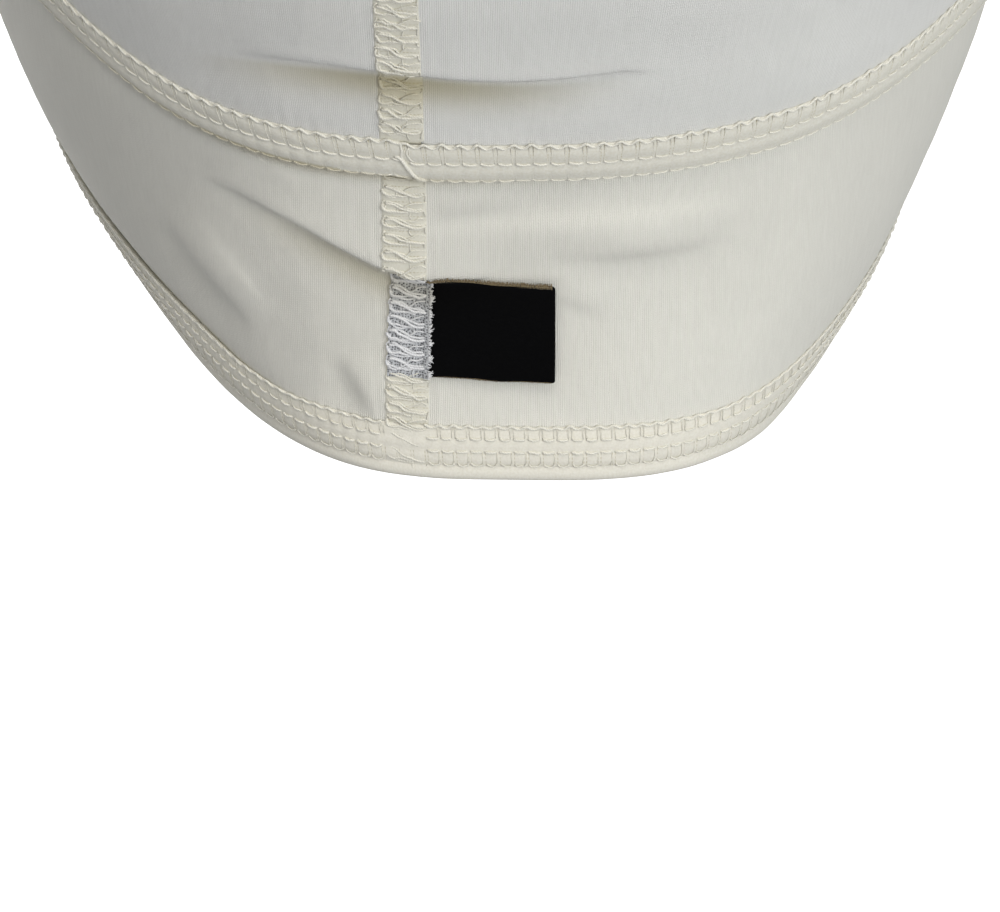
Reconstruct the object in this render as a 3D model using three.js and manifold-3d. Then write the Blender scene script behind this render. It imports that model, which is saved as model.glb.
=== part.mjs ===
// A merino beanie in its worn form: two crown panels, a band, a turned-up hem,
// flatlock seams and a small woven label.
// Millimetres. +Z is up, +Y is the back of the head and +X is the wearer's left.
// The origin is where the top of the head meets the inside of the crown.
import * as THREE from 'three';
import Module from 'manifold-3d';
import { mergeVertices } from 'three/addons/utils/BufferGeometryUtils.js';

const wasm = await Module();
wasm.setup();

// Driving dimensions of the outside of the cloth. Heights are measured up from the nape hem.
const CAP_HEIGHT = 148;
const CAP_WIDTH = 154;
const BACK_REACH = 94;
const FRONT_REACH = 93;
const WIDEST_LEVEL = 80;
const DOME_FULLNESS = 2.2;

// Cloth and seams.
const CLOTH = 1.0;
const SEAM_WIDTH = 6.2;
const SEAM_THICKNESS = 1.7;
const JOIN_WIDTH = 5.8;
const HEM_WIDTH = 8.0;
const HEM_THICKNESS = 1.9;
const SEAM_RISE = 0.35; // how far a seam or the hem stands proud of the cloth
const GAP = 0.3;

// The woven label lies on the band beside the back seam, level with LABEL_LEVEL.
const LABEL_WIDTH = 16.4;
const LABEL_HEIGHT = 14.6;
const LABEL_THICKNESS = 0.8;
const LABEL_LEVEL = 22.8;
const LABEL_DROOP = THREE.MathUtils.degToRad(6); // its free end hangs a little
const LABEL_CLEARANCE = 0.6; // under the plate, whose flat facets bridge the band's curve

// The cap is worn a little turned and leaning, so its seam runs in a tilted plane.
const CAP_TURN = THREE.MathUtils.degToRad(5.1);
const CAP_LEAN = THREE.MathUtils.degToRad(3.8);
const SEAM_AT_TOP = 1;

// Level sections of the head form, evenly spaced from the nape hem to the widest level.
// width, back and front are shares of the largest reach that way.
const SECTIONS = [
  { width: 0.535, back: 0.64, front: 0.67, fullness: 3.0 },
  { width: 0.695, back: 0.68, front: 0.77, fullness: 2.65 },
  { width: 0.835, back: 0.765, front: 0.88, fullness: 2.3 },
  { width: 0.942, back: 0.885, front: 0.965, fullness: 2.2 },
  { width: 1.0, back: 1.0, front: 1.0, fullness: 2.1 },
];

// Heights of the hem's lower edge and of the join seam's middle, as shares of the cap's
// height, every 30 degrees round the head from the front, by the wearer's right to the back.
const EDGES = [
  { around: -180, hem: 0.52, join: 0.811 },
  { around: -150, hem: 0.463, join: 0.745 },
  { around: -120, hem: 0.335, join: 0.61 },
  { around: -90, hem: 0.189, join: 0.459 },
  { around: -60, hem: 0.098, join: 0.415 },
  { around: -30, hem: 0.007, join: 0.333 },
  { around: 0, hem: 0.0, join: 0.32 },
  { around: 30, hem: 0.033, join: 0.366 },
  { around: 60, hem: 0.169, join: 0.532 },
  { around: 90, hem: 0.284, join: 0.6 },
  { around: 120, hem: 0.392, join: 0.69 },
  { around: 150, hem: 0.482, join: 0.775 },
];

// Folds of the worn cloth. Each runs from one place to another, given as degrees round the
// head from the back and a share of the cap's height. Cloth above the line stands out by
// crest, cloth below it falls in by hollow, both within reach, and bow bends the line upwards.
const FOLDS = [
  {
    name: 'crown crease', from: [-15, 0.397], to: [24, 0.424],
    bow: -0.7, crest: 1.7, hollow: 1.3, reach: 4.5,
  },
  {
    name: 'band crease', from: [-5, 0.186], to: [33, 0.295],
    bow: -3.8, crest: 1.9, hollow: 1, reach: 3.6,
  },
  {
    name: 'under the join', from: [22, 0.287], to: [35, 0.33],
    bow: 0, crest: 0.7, hollow: 0.6, reach: 4,
  },
  {
    name: 'left valley', from: [34, 0.15], to: [44, 0.245],
    bow: 0, crest: 0.9, hollow: 0.9, reach: 6,
  },
  {
    name: 'hem pucker', from: [17, 0.06], to: [25, 0.11],
    bow: 0, crest: 0.9, hollow: 0.7, reach: 3.5,
  },
  {
    name: 'label dimple', from: [-12, 0.16], to: [-6, 0.187],
    bow: 0, crest: 0.5, hollow: 0.8, reach: 3.5,
  },
  {
    name: 'right roll', from: [-26, 0.232], to: [-6, 0.216],
    bow: 0, crest: 0.6, hollow: 0.6, reach: 7,
  },
];
const FOLD_FADE = 6; // how far a fold runs on past its ends as it dies away
const NAPE_RADIUS = 68; // turns a fold's angle into a length round the back of the head

const AXIS_ABOVE = CAP_HEIGHT - CLOTH; // height of the origin
const RAY_CENTRE = 0.45 * CAP_HEIGHT - AXIS_ABOVE; // where the rays to the crown start
const SEARCH_REACH = 130; // longer than any ray inside the form
const FAR = 200; // beyond the cap on every side
const TURN = 2 * Math.PI;
const STRAIGHT_DOWN = THREE.MathUtils.degToRad(80);
const HALF_SEAM = SEAM_WIDTH / 2;
const HALF_JOIN = JOIN_WIDTH / 2;

// A curve through evenly spaced values, by Catmull and Rom. The place counts in steps.
function smooth(valueAt, place) {
  const step = Math.floor(place);
  const t = place - step;
  const [a, b, c, d] = [-1, 0, 1, 2].map((offset) => valueAt(step + offset));
  return 0.5 * (2 * b + t * (c - a + t * (2 * a - 5 * b + 4 * c - d + t * (3 * b - a - 3 * c + d))));
}

// A column of SECTIONS, level at the widest section and straight on below the lowest one.
function sectionColumn(name, place) {
  const last = SECTIONS.length - 1;
  return smooth((i) => {
    if (i < 0) return SECTIONS[0][name] + i * (SECTIONS[1][name] - SECTIONS[0][name]);
    return SECTIONS[i > last ? 2 * last - i : i][name];
  }, place);
}

function sectionAt(height) {
  const dome = THREE.MathUtils.clamp((height - WIDEST_LEVEL) / (CAP_HEIGHT - WIDEST_LEVEL), 0, 1);
  const size = Math.max((1 - dome ** DOME_FULLNESS) ** (1 / DOME_FULLNESS), 1e-4);
  const place = Math.min(height / WIDEST_LEVEL, 1) * (SECTIONS.length - 1);
  return {
    width: (size * sectionColumn('width', place) * CAP_WIDTH) / 2,
    back: size * sectionColumn('back', place) * BACK_REACH,
    front: size * sectionColumn('front', place) * FRONT_REACH,
    fullness: sectionColumn('fullness', place),
  };
}

// Below zero inside the head form and above zero outside it.
function formLevel(point) {
  const section = sectionAt(point.z + AXIS_ABOVE);
  const depth = point.y > 0 ? section.back : section.front;
  const across = (Math.abs(point.x) / section.width) ** section.fullness;
  const along = (Math.abs(point.y) / depth) ** section.fullness;
  return across + along - 1;
}

// The place where a ray from inside meets the head form.
function onForm(origin, direction) {
  let inside = 0;
  let outside = SEARCH_REACH;
  const point = new THREE.Vector3();
  for (let step = 0; step < 30; step += 1) {
    const middle = (inside + outside) / 2;
    point.copy(origin).addScaledVector(direction, middle);
    if (formLevel(point) > 0) outside = middle;
    else inside = middle;
  }
  return point;
}

function formNormal(point) {
  const step = 0.05;
  const slope = ['x', 'y', 'z'].map((axis) => {
    const ahead = point.clone();
    const behind = point.clone();
    ahead[axis] += step;
    behind[axis] -= step;
    return formLevel(ahead) - formLevel(behind);
  });
  return new THREE.Vector3(...slope).normalize();
}

// How far the folds lift the cloth at a place on the head form.
function foldLift(point) {
  const turned = Math.atan2(point.x, point.y) * NAPE_RADIUS;
  const height = point.z + AXIS_ABOVE;
  let lift = 0;
  for (const fold of FOLDS) {
    const startX = THREE.MathUtils.degToRad(fold.from[0]) * NAPE_RADIUS;
    const startY = fold.from[1] * CAP_HEIGHT;
    const runX = THREE.MathUtils.degToRad(fold.to[0]) * NAPE_RADIUS - startX;
    const runY = fold.to[1] * CAP_HEIGHT - startY;
    const length = Math.hypot(runX, runY);
    const along = ((turned - startX) * runX + (height - startY) * runY) / length;
    const share = along / length;
    const bow = fold.bow * Math.max(0, 4 * share * (1 - share));
    const above = ((height - startY) * runX - (turned - startX) * runY) / length - bow;
    const past = Math.max(0, -along, along - length) / FOLD_FADE;
    const reach = Math.abs(above) / fold.reach;
    const lobe = reach * Math.exp(1 - reach) * Math.exp(-past * past);
    lift += above > 0 ? fold.crest * lobe : -fold.hollow * lobe;
  }
  return lift;
}

// The cloth at a place on the head form: folded, then lifted along its normal.
function cloth(point, lift) {
  return point.clone().addScaledVector(formNormal(point), foldLift(point) + lift);
}

// Rays that reach every place of the cap.
function levelPlace(around, height) {
  const origin = new THREE.Vector3(0, 0, height - AXIS_ABOVE);
  return onForm(origin, new THREE.Vector3(Math.sin(around), Math.cos(around), 0));
}

function domePlace(around, height, share) {
  const start = levelPlace(around, height);
  const centre = new THREE.Vector3(0, 0, RAY_CENTRE);
  const away = start.sub(centre);
  const low = Math.atan2(away.z, Math.hypot(away.x, away.y));
  const rise = low + (Math.PI / 2 - low) * share;
  const flat = Math.cos(rise);
  const direction = new THREE.Vector3(Math.sin(around) * flat, Math.cos(around) * flat, Math.sin(rise));
  return onForm(centre, direction);
}

// Height of the hem or the join seam at an angle round the head.
function edgeHeight(name, around) {
  const step = TURN / EDGES.length;
  const place = (around + Math.PI) / step;
  const valueAt = (i) => EDGES[((i % EDGES.length) + EDGES.length) % EDGES.length][name];
  return CAP_HEIGHT * smooth(valueAt, place);
}

// The height that lies a given length up or down the cloth from another height.
function heightAlong(around, height, length) {
  const step = 0.5;
  const here = levelPlace(around, height);
  const there = levelPlace(around, height + step);
  return height + (length * step) / here.distanceTo(there);
}

// Angles round the head, closer together at the back, where the folds are.
const COLUMNS = 76;
const BACK_CROWDING = 0.55;
const BAND_ROWS = 13;
const CROWN_ROWS = 12;
const CROWN_CROWDING = 1.5; // the crown's rows lie closer together near the join seam
const NARROW_ROWS = 2; // of the join seam and the hem
const CROWN_SEAM_STEPS = 48;
const BACK_SEAM_STEPS = 14;
const LABEL_CELLS = 5;
const ANGLES = Array.from({ length: COLUMNS }, (_, i) => {
  const t = i / COLUMNS;
  return TURN * t - BACK_CROWDING * Math.sin(TURN * t);
});

// A closed solid from rings of points, each ring as long as the rest. The first and last
// rings are joined to each other, so the rings run round a wall's section.
function ringSolid(rings) {
  const count = rings[0].length;
  const positions = rings.flat().flatMap((p) => [p.x, p.y, p.z]);
  const faces = [];
  for (let r = 0; r < rings.length; r += 1) {
    const next = (r + 1) % rings.length;
    for (let i = 0; i < count; i += 1) {
      const j = (i + 1) % count;
      const [a, b, c, d] = [r * count + i, r * count + j, next * count + j, next * count + i];
      faces.push(a, c, b, a, d, c);
    }
  }
  return closedGeometry(positions, faces);
}

function closedGeometry(positions, faces) {
  const geometry = new THREE.BufferGeometry();
  geometry.setAttribute('position', new THREE.Float32BufferAttribute(positions, 3));
  geometry.setIndex(faces);
  return geometry;
}

// A wall round the head between two lengths from an edge, with its faces at two lifts.
function wallRing(edge, fromLength, toEdge, toLength, rows, outerLift, thickness) {
  const places = Array.from({ length: rows + 1 }, (_, r) => ANGLES.map((around) => {
    const low = heightAlong(around, edgeHeight(edge, around), fromLength);
    const high = heightAlong(around, edgeHeight(toEdge, around), toLength);
    return levelPlace(around, low + ((high - low) * r) / rows);
  }));
  const outer = places.map((ring) => ring.map((p) => cloth(p, outerLift)));
  const inner = places.map((ring) => ring.map((p) => cloth(p, outerLift - thickness))).reverse();
  return ringSolid([...outer, ...inner]);
}

// A dome over the head from a length above the join seam, closed at its top by a fan.
function domeWall(fromLength, rows, outerLift, thickness) {
  const places = Array.from({ length: rows }, (_, r) => ANGLES.map((around) => {
    const low = heightAlong(around, edgeHeight('join', around), fromLength);
    return domePlace(around, low, (r / rows) ** CROWN_CROWDING);
  }));
  const outer = places.map((ring) => ring.map((p) => cloth(p, outerLift)));
  const inner = places.map((ring) => ring.map((p) => cloth(p, outerLift - thickness)));
  const rings = [...outer.reverse(), ...inner];
  const positions = rings.flat().flatMap((p) => [p.x, p.y, p.z]);
  const faces = [];
  for (let r = 0; r + 1 < rings.length; r += 1) {
    for (let i = 0; i < COLUMNS; i += 1) {
      const j = (i + 1) % COLUMNS;
      const [a, b] = [r * COLUMNS + i, r * COLUMNS + j];
      faces.push(a, b, a + COLUMNS, b, b + COLUMNS, a + COLUMNS);
    }
  }
  const outerTop = positions.length / 3;
  positions.push(0, 0, CLOTH + outerLift, 0, 0, CLOTH + outerLift - thickness);
  const lastRing = (rings.length - 1) * COLUMNS;
  for (let i = 0; i < COLUMNS; i += 1) {
    const j = (i + 1) % COLUMNS;
    faces.push(outerTop, j, i);
    faces.push(outerTop + 1, lastRing + i, lastRing + j);
  }
  return closedGeometry(positions, faces);
}

// The back and crown seams follow one tilted plane: its frame's X axis is the plane's normal.
const SEAM_FRAME = new THREE.Matrix4().makeRotationZ(-CAP_TURN);
SEAM_FRAME.multiply(new THREE.Matrix4().makeRotationY(-CAP_LEAN));
SEAM_FRAME.setPosition(SEAM_AT_TOP, 0, 0);

// A box between two planes beside the seam's plane.
function seamSlab(fromOffset, toOffset) {
  const box = new THREE.BoxGeometry(toOffset - fromOffset, 2 * FAR, 2 * FAR);
  box.translate((fromOffset + toOffset) / 2, 0, 0);
  return box.applyMatrix4(SEAM_FRAME);
}

// The place on the head form beside the seam by an offset, at an angle up from the back.
function seamPlace(offset, angle) {
  const centre = new THREE.Vector3(offset, 0, RAY_CENTRE);
  const direction = new THREE.Vector3(0, Math.cos(angle), Math.sin(angle));
  return onForm(centre.applyMatrix4(SEAM_FRAME), direction.transformDirection(SEAM_FRAME));
}

// The angle at which a line beside the seam crosses a length from an edge.
function seamAngle(offset, edge, length, belowAngle, aboveAngle) {
  let below = belowAngle;
  let above = aboveAngle;
  for (let step = 0; step < 24; step += 1) {
    const middle = (below + above) / 2;
    const place = seamPlace(offset, middle);
    const around = Math.atan2(place.x, place.y);
    const limit = heightAlong(around, edgeHeight(edge, around), length);
    if (place.z + AXIS_ABOVE < limit) below = middle;
    else above = middle;
  }
  return above;
}

// The angle at which a line beside the seam reaches a height, on the back of the head.
function angleAtHeight(offset, height) {
  let below = -STRAIGHT_DOWN;
  let above = Math.PI / 2;
  for (let step = 0; step < 24; step += 1) {
    const middle = (below + above) / 2;
    if (seamPlace(offset, middle).z + AXIS_ABOVE < height) below = middle;
    else above = middle;
  }
  return above;
}

// A strip along the seam between two angles, each a function of the offset.
function seamStrip(fromAngle, toAngle, steps) {
  const offsets = [HALF_SEAM, 0, -HALF_SEAM];
  const ends = offsets.map((offset) => [fromAngle(offset), toAngle(offset)]);
  const sections = Array.from({ length: steps + 1 }, (_, i) => {
    const places = offsets.map((offset, k) => {
      const [from, to] = ends[k];
      return seamPlace(offset, from + ((to - from) * i) / steps);
    });
    const outer = places.map((p) => cloth(p, SEAM_RISE));
    const inner = places.map((p) => cloth(p, SEAM_RISE - SEAM_THICKNESS)).reverse();
    return [...outer, ...inner];
  });
  return tube(sections);
}

// A solid tube through sections of equal length, closed flat at both ends.
function tube(sections) {
  const count = sections[0].length;
  const positions = sections.flat().flatMap((p) => [p.x, p.y, p.z]);
  const faces = [];
  const last = (sections.length - 1) * count;
  for (let r = 0; r + 1 < sections.length; r += 1) {
    for (let i = 0; i < count; i += 1) {
      const j = (i + 1) % count;
      const [a, b, c, d] = [r * count + i, r * count + j, (r + 1) * count + j, (r + 1) * count + i];
      faces.push(a, b, c, a, c, d);
    }
  }
  for (let i = 0; i + 1 < count / 2; i += 1) {
    const [a, b, c, d] = [i, i + 1, count - 2 - i, count - 1 - i];
    faces.push(a, c, b, a, d, c);
    faces.push(last + a, last + b, last + c, last + a, last + c, last + d);
  }
  return closedGeometry(positions, faces);
}

function toManifold(geometry) {
  const bare = geometry.clone();
  bare.deleteAttribute('normal');
  bare.deleteAttribute('uv');
  const merged = mergeVertices(bare, 1e-4);
  return new wasm.Manifold(new wasm.Mesh({
    numProp: 3,
    vertProperties: new Float32Array(merged.attributes.position.array),
    triVerts: new Uint32Array(merged.index.array),
  }));
}

function fromManifold(solid) {
  const { vertProperties, triVerts } = solid.getMesh();
  return closedGeometry(Array.from(vertProperties), Array.from(triVerts));
}

function cut(geometry, tool) {
  return fromManifold(toManifold(geometry).intersect(toManifold(tool)));
}

// The part of a wall that lies behind the head's middle.
function backHalf(geometry) {
  const box = new THREE.BoxGeometry(2 * FAR, 2 * FAR, 2 * FAR);
  box.translate(0, FAR, 0);
  return cut(geometry, box);
}

function crownPanel(side) {
  const wall = domeWall(HALF_JOIN + GAP, CROWN_ROWS, 0, CLOTH);
  const near = side * (HALF_SEAM + GAP);
  return cut(wall, seamSlab(Math.min(near, side * FAR), Math.max(near, side * FAR)));
}

function crownSeam() {
  const up = Math.PI / 2;
  const back = (offset) => seamAngle(offset, 'join', HALF_JOIN + GAP, -STRAIGHT_DOWN, up);
  const front = (offset) => seamAngle(offset, 'join', HALF_JOIN + GAP, Math.PI + STRAIGHT_DOWN, up);
  return seamStrip(back, front, CROWN_SEAM_STEPS);
}

function band() {
  const wall = wallRing('hem', HEM_WIDTH + GAP, 'join', -HALF_JOIN - GAP, BAND_ROWS, 0, CLOTH);
  const slot = seamSlab(-HALF_SEAM - GAP, HALF_SEAM + GAP);
  return fromManifold(toManifold(wall).subtract(toManifold(backHalf(slot))));
}

function backSeam() {
  const up = Math.PI / 2;
  const low = (offset) => seamAngle(offset, 'hem', HEM_WIDTH + GAP, -STRAIGHT_DOWN, up);
  const high = (offset) => seamAngle(offset, 'join', -HALF_JOIN - GAP, -STRAIGHT_DOWN, up);
  return seamStrip(low, high, BACK_SEAM_STEPS);
}

function joinSeam() {
  return wallRing('join', -HALF_JOIN, 'join', HALF_JOIN, NARROW_ROWS, SEAM_RISE, SEAM_THICKNESS);
}

function hem() {
  return wallRing('hem', 0, 'hem', HEM_WIDTH, NARROW_ROWS, SEAM_RISE, HEM_THICKNESS);
}

// The label bends over the band as a thin plate, starting beside the seam.
function label() {
  const plate = new THREE.BoxGeometry(1, 1, 1, LABEL_CELLS, LABEL_CELLS, 1);
  plate.deleteAttribute('normal');
  plate.deleteAttribute('uv');
  const corners = mergeVertices(plate, 1e-4);
  const place = corners.attributes.position;
  for (let i = 0; i < place.count; i += 1) {
    const reach = (place.getX(i) + 0.5) * LABEL_WIDTH;
    const height = LABEL_LEVEL + place.getY(i) * LABEL_HEIGHT - reach * Math.tan(LABEL_DROOP);
    const offset = -HALF_SEAM - GAP - reach;
    const angle = angleAtHeight(offset, height);
    const lift = LABEL_CLEARANCE + (place.getZ(i) + 0.5) * LABEL_THICKNESS;
    place.setXYZ(i, ...cloth(seamPlace(offset, angle), lift).toArray());
  }
  return corners;
}

const JERSEY = { color: 0xe6e2d4, roughness: 0.9, metalness: 0 };
const THREAD = { color: 0xece6cf, roughness: 0.8, metalness: 0 };
const WOVEN = { color: 0x0a0a0b, roughness: 0.7, metalness: 0 };

function piece(name, geometry, finish) {
  const flat = geometry.index ? geometry.toNonIndexed() : geometry;
  flat.computeVertexNormals();
  const mesh = new THREE.Mesh(flat, new THREE.MeshStandardMaterial(finish));
  mesh.name = name;
  return mesh;
}

const beanie = new THREE.Group();
beanie.add(piece('crown_left', crownPanel(1), JERSEY));
beanie.add(piece('crown_right', crownPanel(-1), JERSEY));
beanie.add(piece('crown_seam', crownSeam(), THREAD));
beanie.add(piece('join_seam', joinSeam(), THREAD));
beanie.add(piece('band', band(), JERSEY));
beanie.add(piece('back_seam', backSeam(), THREAD));
beanie.add(piece('hem', hem(), JERSEY));
beanie.add(piece('label', label(), WOVEN));

export default beanie;
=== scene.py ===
"""The looks of the merino beanie: jersey walls, flatlock stitches, a woven label and the stage."""
import math

import bpy
import numpy as np
from mathutils import Matrix, Vector


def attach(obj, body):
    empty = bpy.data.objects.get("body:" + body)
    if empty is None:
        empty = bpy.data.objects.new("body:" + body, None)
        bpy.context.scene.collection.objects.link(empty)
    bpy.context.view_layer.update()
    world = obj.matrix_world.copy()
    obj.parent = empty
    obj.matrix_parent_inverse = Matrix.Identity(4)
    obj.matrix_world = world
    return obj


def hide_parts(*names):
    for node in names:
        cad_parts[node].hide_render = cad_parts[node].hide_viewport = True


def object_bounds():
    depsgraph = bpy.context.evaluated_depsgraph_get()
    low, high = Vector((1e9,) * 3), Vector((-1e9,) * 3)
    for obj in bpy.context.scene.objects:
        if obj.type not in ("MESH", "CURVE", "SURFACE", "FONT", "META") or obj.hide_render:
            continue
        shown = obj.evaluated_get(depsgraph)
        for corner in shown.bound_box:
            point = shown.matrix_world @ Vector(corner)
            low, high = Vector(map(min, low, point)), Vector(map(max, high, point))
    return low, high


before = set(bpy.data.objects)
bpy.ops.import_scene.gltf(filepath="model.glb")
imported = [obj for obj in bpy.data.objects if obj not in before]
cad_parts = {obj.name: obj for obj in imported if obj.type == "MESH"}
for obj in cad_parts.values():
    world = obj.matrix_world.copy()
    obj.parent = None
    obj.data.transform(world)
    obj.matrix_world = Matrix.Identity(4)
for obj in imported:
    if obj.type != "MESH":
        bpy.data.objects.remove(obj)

CAD_BOX = [list(corner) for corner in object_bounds()]
MM = 0.001

# The driving dimensions of the part's source, in millimetres. Heights go up from the nape hem.
CAP_HEIGHT = 148.0
CAP_WIDTH = 154.0
BACK_REACH = 94.0
FRONT_REACH = 93.0
WIDEST_LEVEL = 80.0
DOME_FULLNESS = 2.2
CLOTH = 1.0
HALF_SEAM = 3.1
HALF_JOIN = 2.9
HEM_WIDTH = 8.0
LABEL_HEIGHT = 14.7
LABEL_LEVEL = 22.95
LABEL_DROOP = math.radians(5.4)
CAP_TURN = math.radians(5.1)
CAP_LEAN = math.radians(3.8)
SEAM_AT_TOP = 1.0
AXIS_ABOVE = CAP_HEIGHT - CLOTH
RAY_CENTRE = 0.45 * CAP_HEIGHT - AXIS_ABOVE

# Level sections from the nape hem to the widest level, as shares of the largest reach.
SECTIONS = {
    "width": (0.535, 0.695, 0.835, 0.942, 1.0),
    "back": (0.64, 0.68, 0.765, 0.885, 1.0),
    "front": (0.67, 0.77, 0.88, 0.965, 1.0),
    "fullness": (3.0, 2.65, 2.3, 2.2, 2.1),
}

# Heights of the hem and of the join seam, as shares of the cap's height, every 30 degrees
# from the front, by the wearer's right to the back and on round.
EDGES = {
    "hem": (0.52, 0.463, 0.335, 0.189, 0.098, 0.007, 0.0, 0.033, 0.169, 0.284, 0.392, 0.482),
    "join": (0.811, 0.745, 0.61, 0.459, 0.415, 0.333, 0.32, 0.366, 0.532, 0.6, 0.69, 0.775),
}

# Folds: ends as degrees from the back and a share of the cap's height, bent by bow and sway.
# crest and hollow are the depths above and below the line, and reach how far they carry.
# A fold runs out at its ends, which are shares of the way along the line. In a tucked fold the
# cloth also slides under itself by tuck, between the shares tucked, and between the shares shaded
# its colour is darkened and yellowed by painted shade, as strong as shade. Below the band's crease
# it is dragged towards the wearer's right as well.
FOLDS = (
    dict(start=(-11, 0.406), end=(22.3, 0.432), bow=-1.2, sway=-0.4, crest=0.9, hollow=1.7,
         reach=(5.0, 4.2), tuck=0.95, tucked=(-0.08, 1.0), shaded=(-0.1, 1.3), shade=1.0),
    dict(start=(2, 0.2033), end=(31, 0.291), bow=-3.0, sway=-1.05, crest=1.5, hollow=1.2,
         reach=(5.5, 3.4), tuck=0.85, tucked=(-0.05, 0.9), shaded=(-0.3, 1.05), shade=0.66,
         ends=(0.0, 1.14), drag=dict(length=0.95, below=9.0, middle=14, spread=20.0)),
    dict(start=(33.4, 0.142), end=(44.8, 0.256), crest=0.85, hollow=0.75, reach=3.0, ends=(0.0, 1.0)),
    dict(start=(28.9, 0.150), end=(37.4, 0.266), crest=-0.14, hollow=-0.14, reach=2.1, ends=(0.0, 1.0)),
    dict(start=(18.6, 0.056), end=(22.8, 0.128), crest=0.5, hollow=0.5, reach=2.6, ends=(0.0, 1.0)),
    dict(start=(-1.2, 0.274), end=(8.8, 0.266), crest=0.28, hollow=0.28, reach=2.2),
    dict(start=(-24.5, 0.224), end=(-5.6, 0.22), bow=-0.8, crest=0.6, hollow=0.45, reach=3.2),
    dict(start=(-24.5, 0.263), end=(10.5, 0.2556), crest=-0.4, hollow=-0.4, reach=2.3),
    dict(start=(-11.1, 0.159), end=(-4.8, 0.179), crest=0.22, hollow=0.22, reach=2.4),
)
NAPE_RADIUS = 68.0  # turns the folds' degrees into millimetres
FOLD_FADE = 6.0  # how far a fold carries past its line's ends
FOLD_ENDS = (-0.14, 1.14)  # the ends of a fold that names none
TUCK_SOFTNESS = 0.35  # the slide in a tucked fold turns over this near its line
TUCK_SPREAD = 2.4  # and it dies away over this distance
LIP = 0.5  # how soon a tucked fold's cloth reaches its crest and its hollow
# The painted shade in the tucked folds, a darker yellower colour: its deepest line under the fold's, and its
# reach.
PAINTED_SHADE_MIDDLE = 1.5
PAINTED_SHADE_TOP = 0.7
PAINTED_SHADE_SPREAD = 3.3
JOIN_SHADE = 0.75  # the same painted shade close under the join seam, where it draws in most
JOIN_SHADE_REACH = 1.2
# The painted shade's colour, by which the cloth's colour is multiplied where the shade is full.
PAINTED_SHADE_COLOUR = (0.62, 0.575, 0.44, 1)

# The band draws in under the join seam: depths and reaches, deepest on the wearer's left.
DRAW_IN = dict(left=1.8, left_fall=1.05, right=0.45, right_fall=2.6, middle=25, spread=20)
# It draws in over the hem too, between two bearings on the wearer's left.
HEM_DRAW = dict(depth=0.5, fall=1.2, start=37, end=95, ease=6)
DRAWN_UNDER = 1.5  # how far in under a seam the cloth is still drawn in

# Stitches: their pitch along each seam, and their rows above and below its middle or edge.
JOIN_PITCH = 2.4
HEM_PITCH = 2.0
SEAM_PITCH = 2.35
JOIN_ROWS = (2.75, -0.1, -2.8)
HEM_ROWS = (7.4, 5.8, 3.9, 2.1)
JOIN_JOG = 0.42  # how far each end of the join seam lies out of line
PUCKER_RADIUS = 90.0  # turns bearings into lengths for the ripples beside the join seam

# The worn hem hangs lower at both sides of the nape, and its edge stands out on the left.
HEM_DROP = dict(nape=0.6, nape_spread=60, sides=1.4, left_at=43, right_at=-41, spread=9)
HEM_FLARE = dict(depth=0.75, middle=48, spread=12)

# The label's ribbon and its pale tape.
LABEL_TOP = LABEL_LEVEL + LABEL_HEIGHT / 2
LABEL_FOOT = LABEL_LEVEL - LABEL_HEIGHT / 2
LABEL_NARROWING = 0.025  # towards its free end, as it turns away
LABEL_START = 0.3  # the ribbon's reach is counted from this far past the seam's edge
RIBBON_REACH = 17.2  # to the ribbon's free end
RIBBON_TUCK = 0.7  # how far the ribbon runs in under its tape
TAPE_START = 0.3  # how far in from the seam's other edge the tape starts
TAPE_END = 0.05  # how far the tape runs out past the seam's edge
LABEL_HOLD = 2.5  # the ribbon follows the crease this far out, and hangs free beyond

# The cloth walls as they look: thinner than the solids, and tucked under the seams' lips.
WALL = 0.8
LAP = 0.45  # how far the cloth runs in under a seam
THINNING = 0.55  # how much thinner the wall is in the tucked folds
THINNEST_SLIDE = 0.5  # where the cloth slides this far, the wall is thinnest

# The cloth's grid: where its rows lie close, up from the lower edge, and its columns in degrees.
CROWN_ROWS = dict(low=5, high=16, spacing=0.26)
BAND_ROWS = dict(low=14, high=31, spacing=0.28)
COLUMNS = dict(left=48, right=30, spacing=0.36, growth=0.05, widest=1.5)


# ---- Small tools --------------------------------------------------------------------------


def bell(value, middle, spread):
    """1 at the middle, and down to 0 a few spreads away."""
    return np.exp(-(((value - middle) / spread) ** 2))


def taper(ends, share):
    """From 0 at both ends to 1 halfway between them."""
    return np.sin(math.pi * np.clip((share - ends[0]) / (ends[1] - ends[0]), 0, 1))


def spline(a, b, c, d, t):
    """Catmull and Rom's curve from b to c, as t goes from 0 to 1."""
    return 0.5 * (2 * b + t * (c - a + t * (2 * a - 5 * b + 4 * c - d + t * (3 * b - a - 3 * c + d))))


def curve_through(value_at, place):
    """A smooth curve through evenly spaced values."""
    step = np.floor(place).astype(int)
    return spline(*(value_at(step + k) for k in (-1, 0, 1, 2)), place - step)


def halved(low, high, is_short, steps):
    """The two ends that halving comes to, around the place where is_short turns false."""
    for _ in range(steps):
        middle = (low + high) / 2
        short = is_short(middle)
        low = np.where(short, middle, low)
        high = np.where(short, high, middle)
    return low, high


def bearing_of(points):
    """The bearing from the back, towards the wearer's left."""
    return np.arctan2(points[..., 0], points[..., 1])


def height_of(points):
    """The height above the nape hem."""
    return points[..., 2] + AXIS_ABOVE


def spread_out(section, count):
    """A section's two columns, each repeated along a seam."""
    return (np.broadcast_to(column, (count, len(section))).copy() for column in section.T)


# ---- The head form ------------------------------------------------------------------------


def section_column(name, place):
    values = np.array(SECTIONS[name])
    last = len(values) - 1

    def value_at(i):
        inside = values[np.clip(np.where(i > last, 2 * last - i, i), 0, last)]
        return np.where(i < 0, values[0] + i * (values[1] - values[0]), inside)

    return curve_through(value_at, place)


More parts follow.
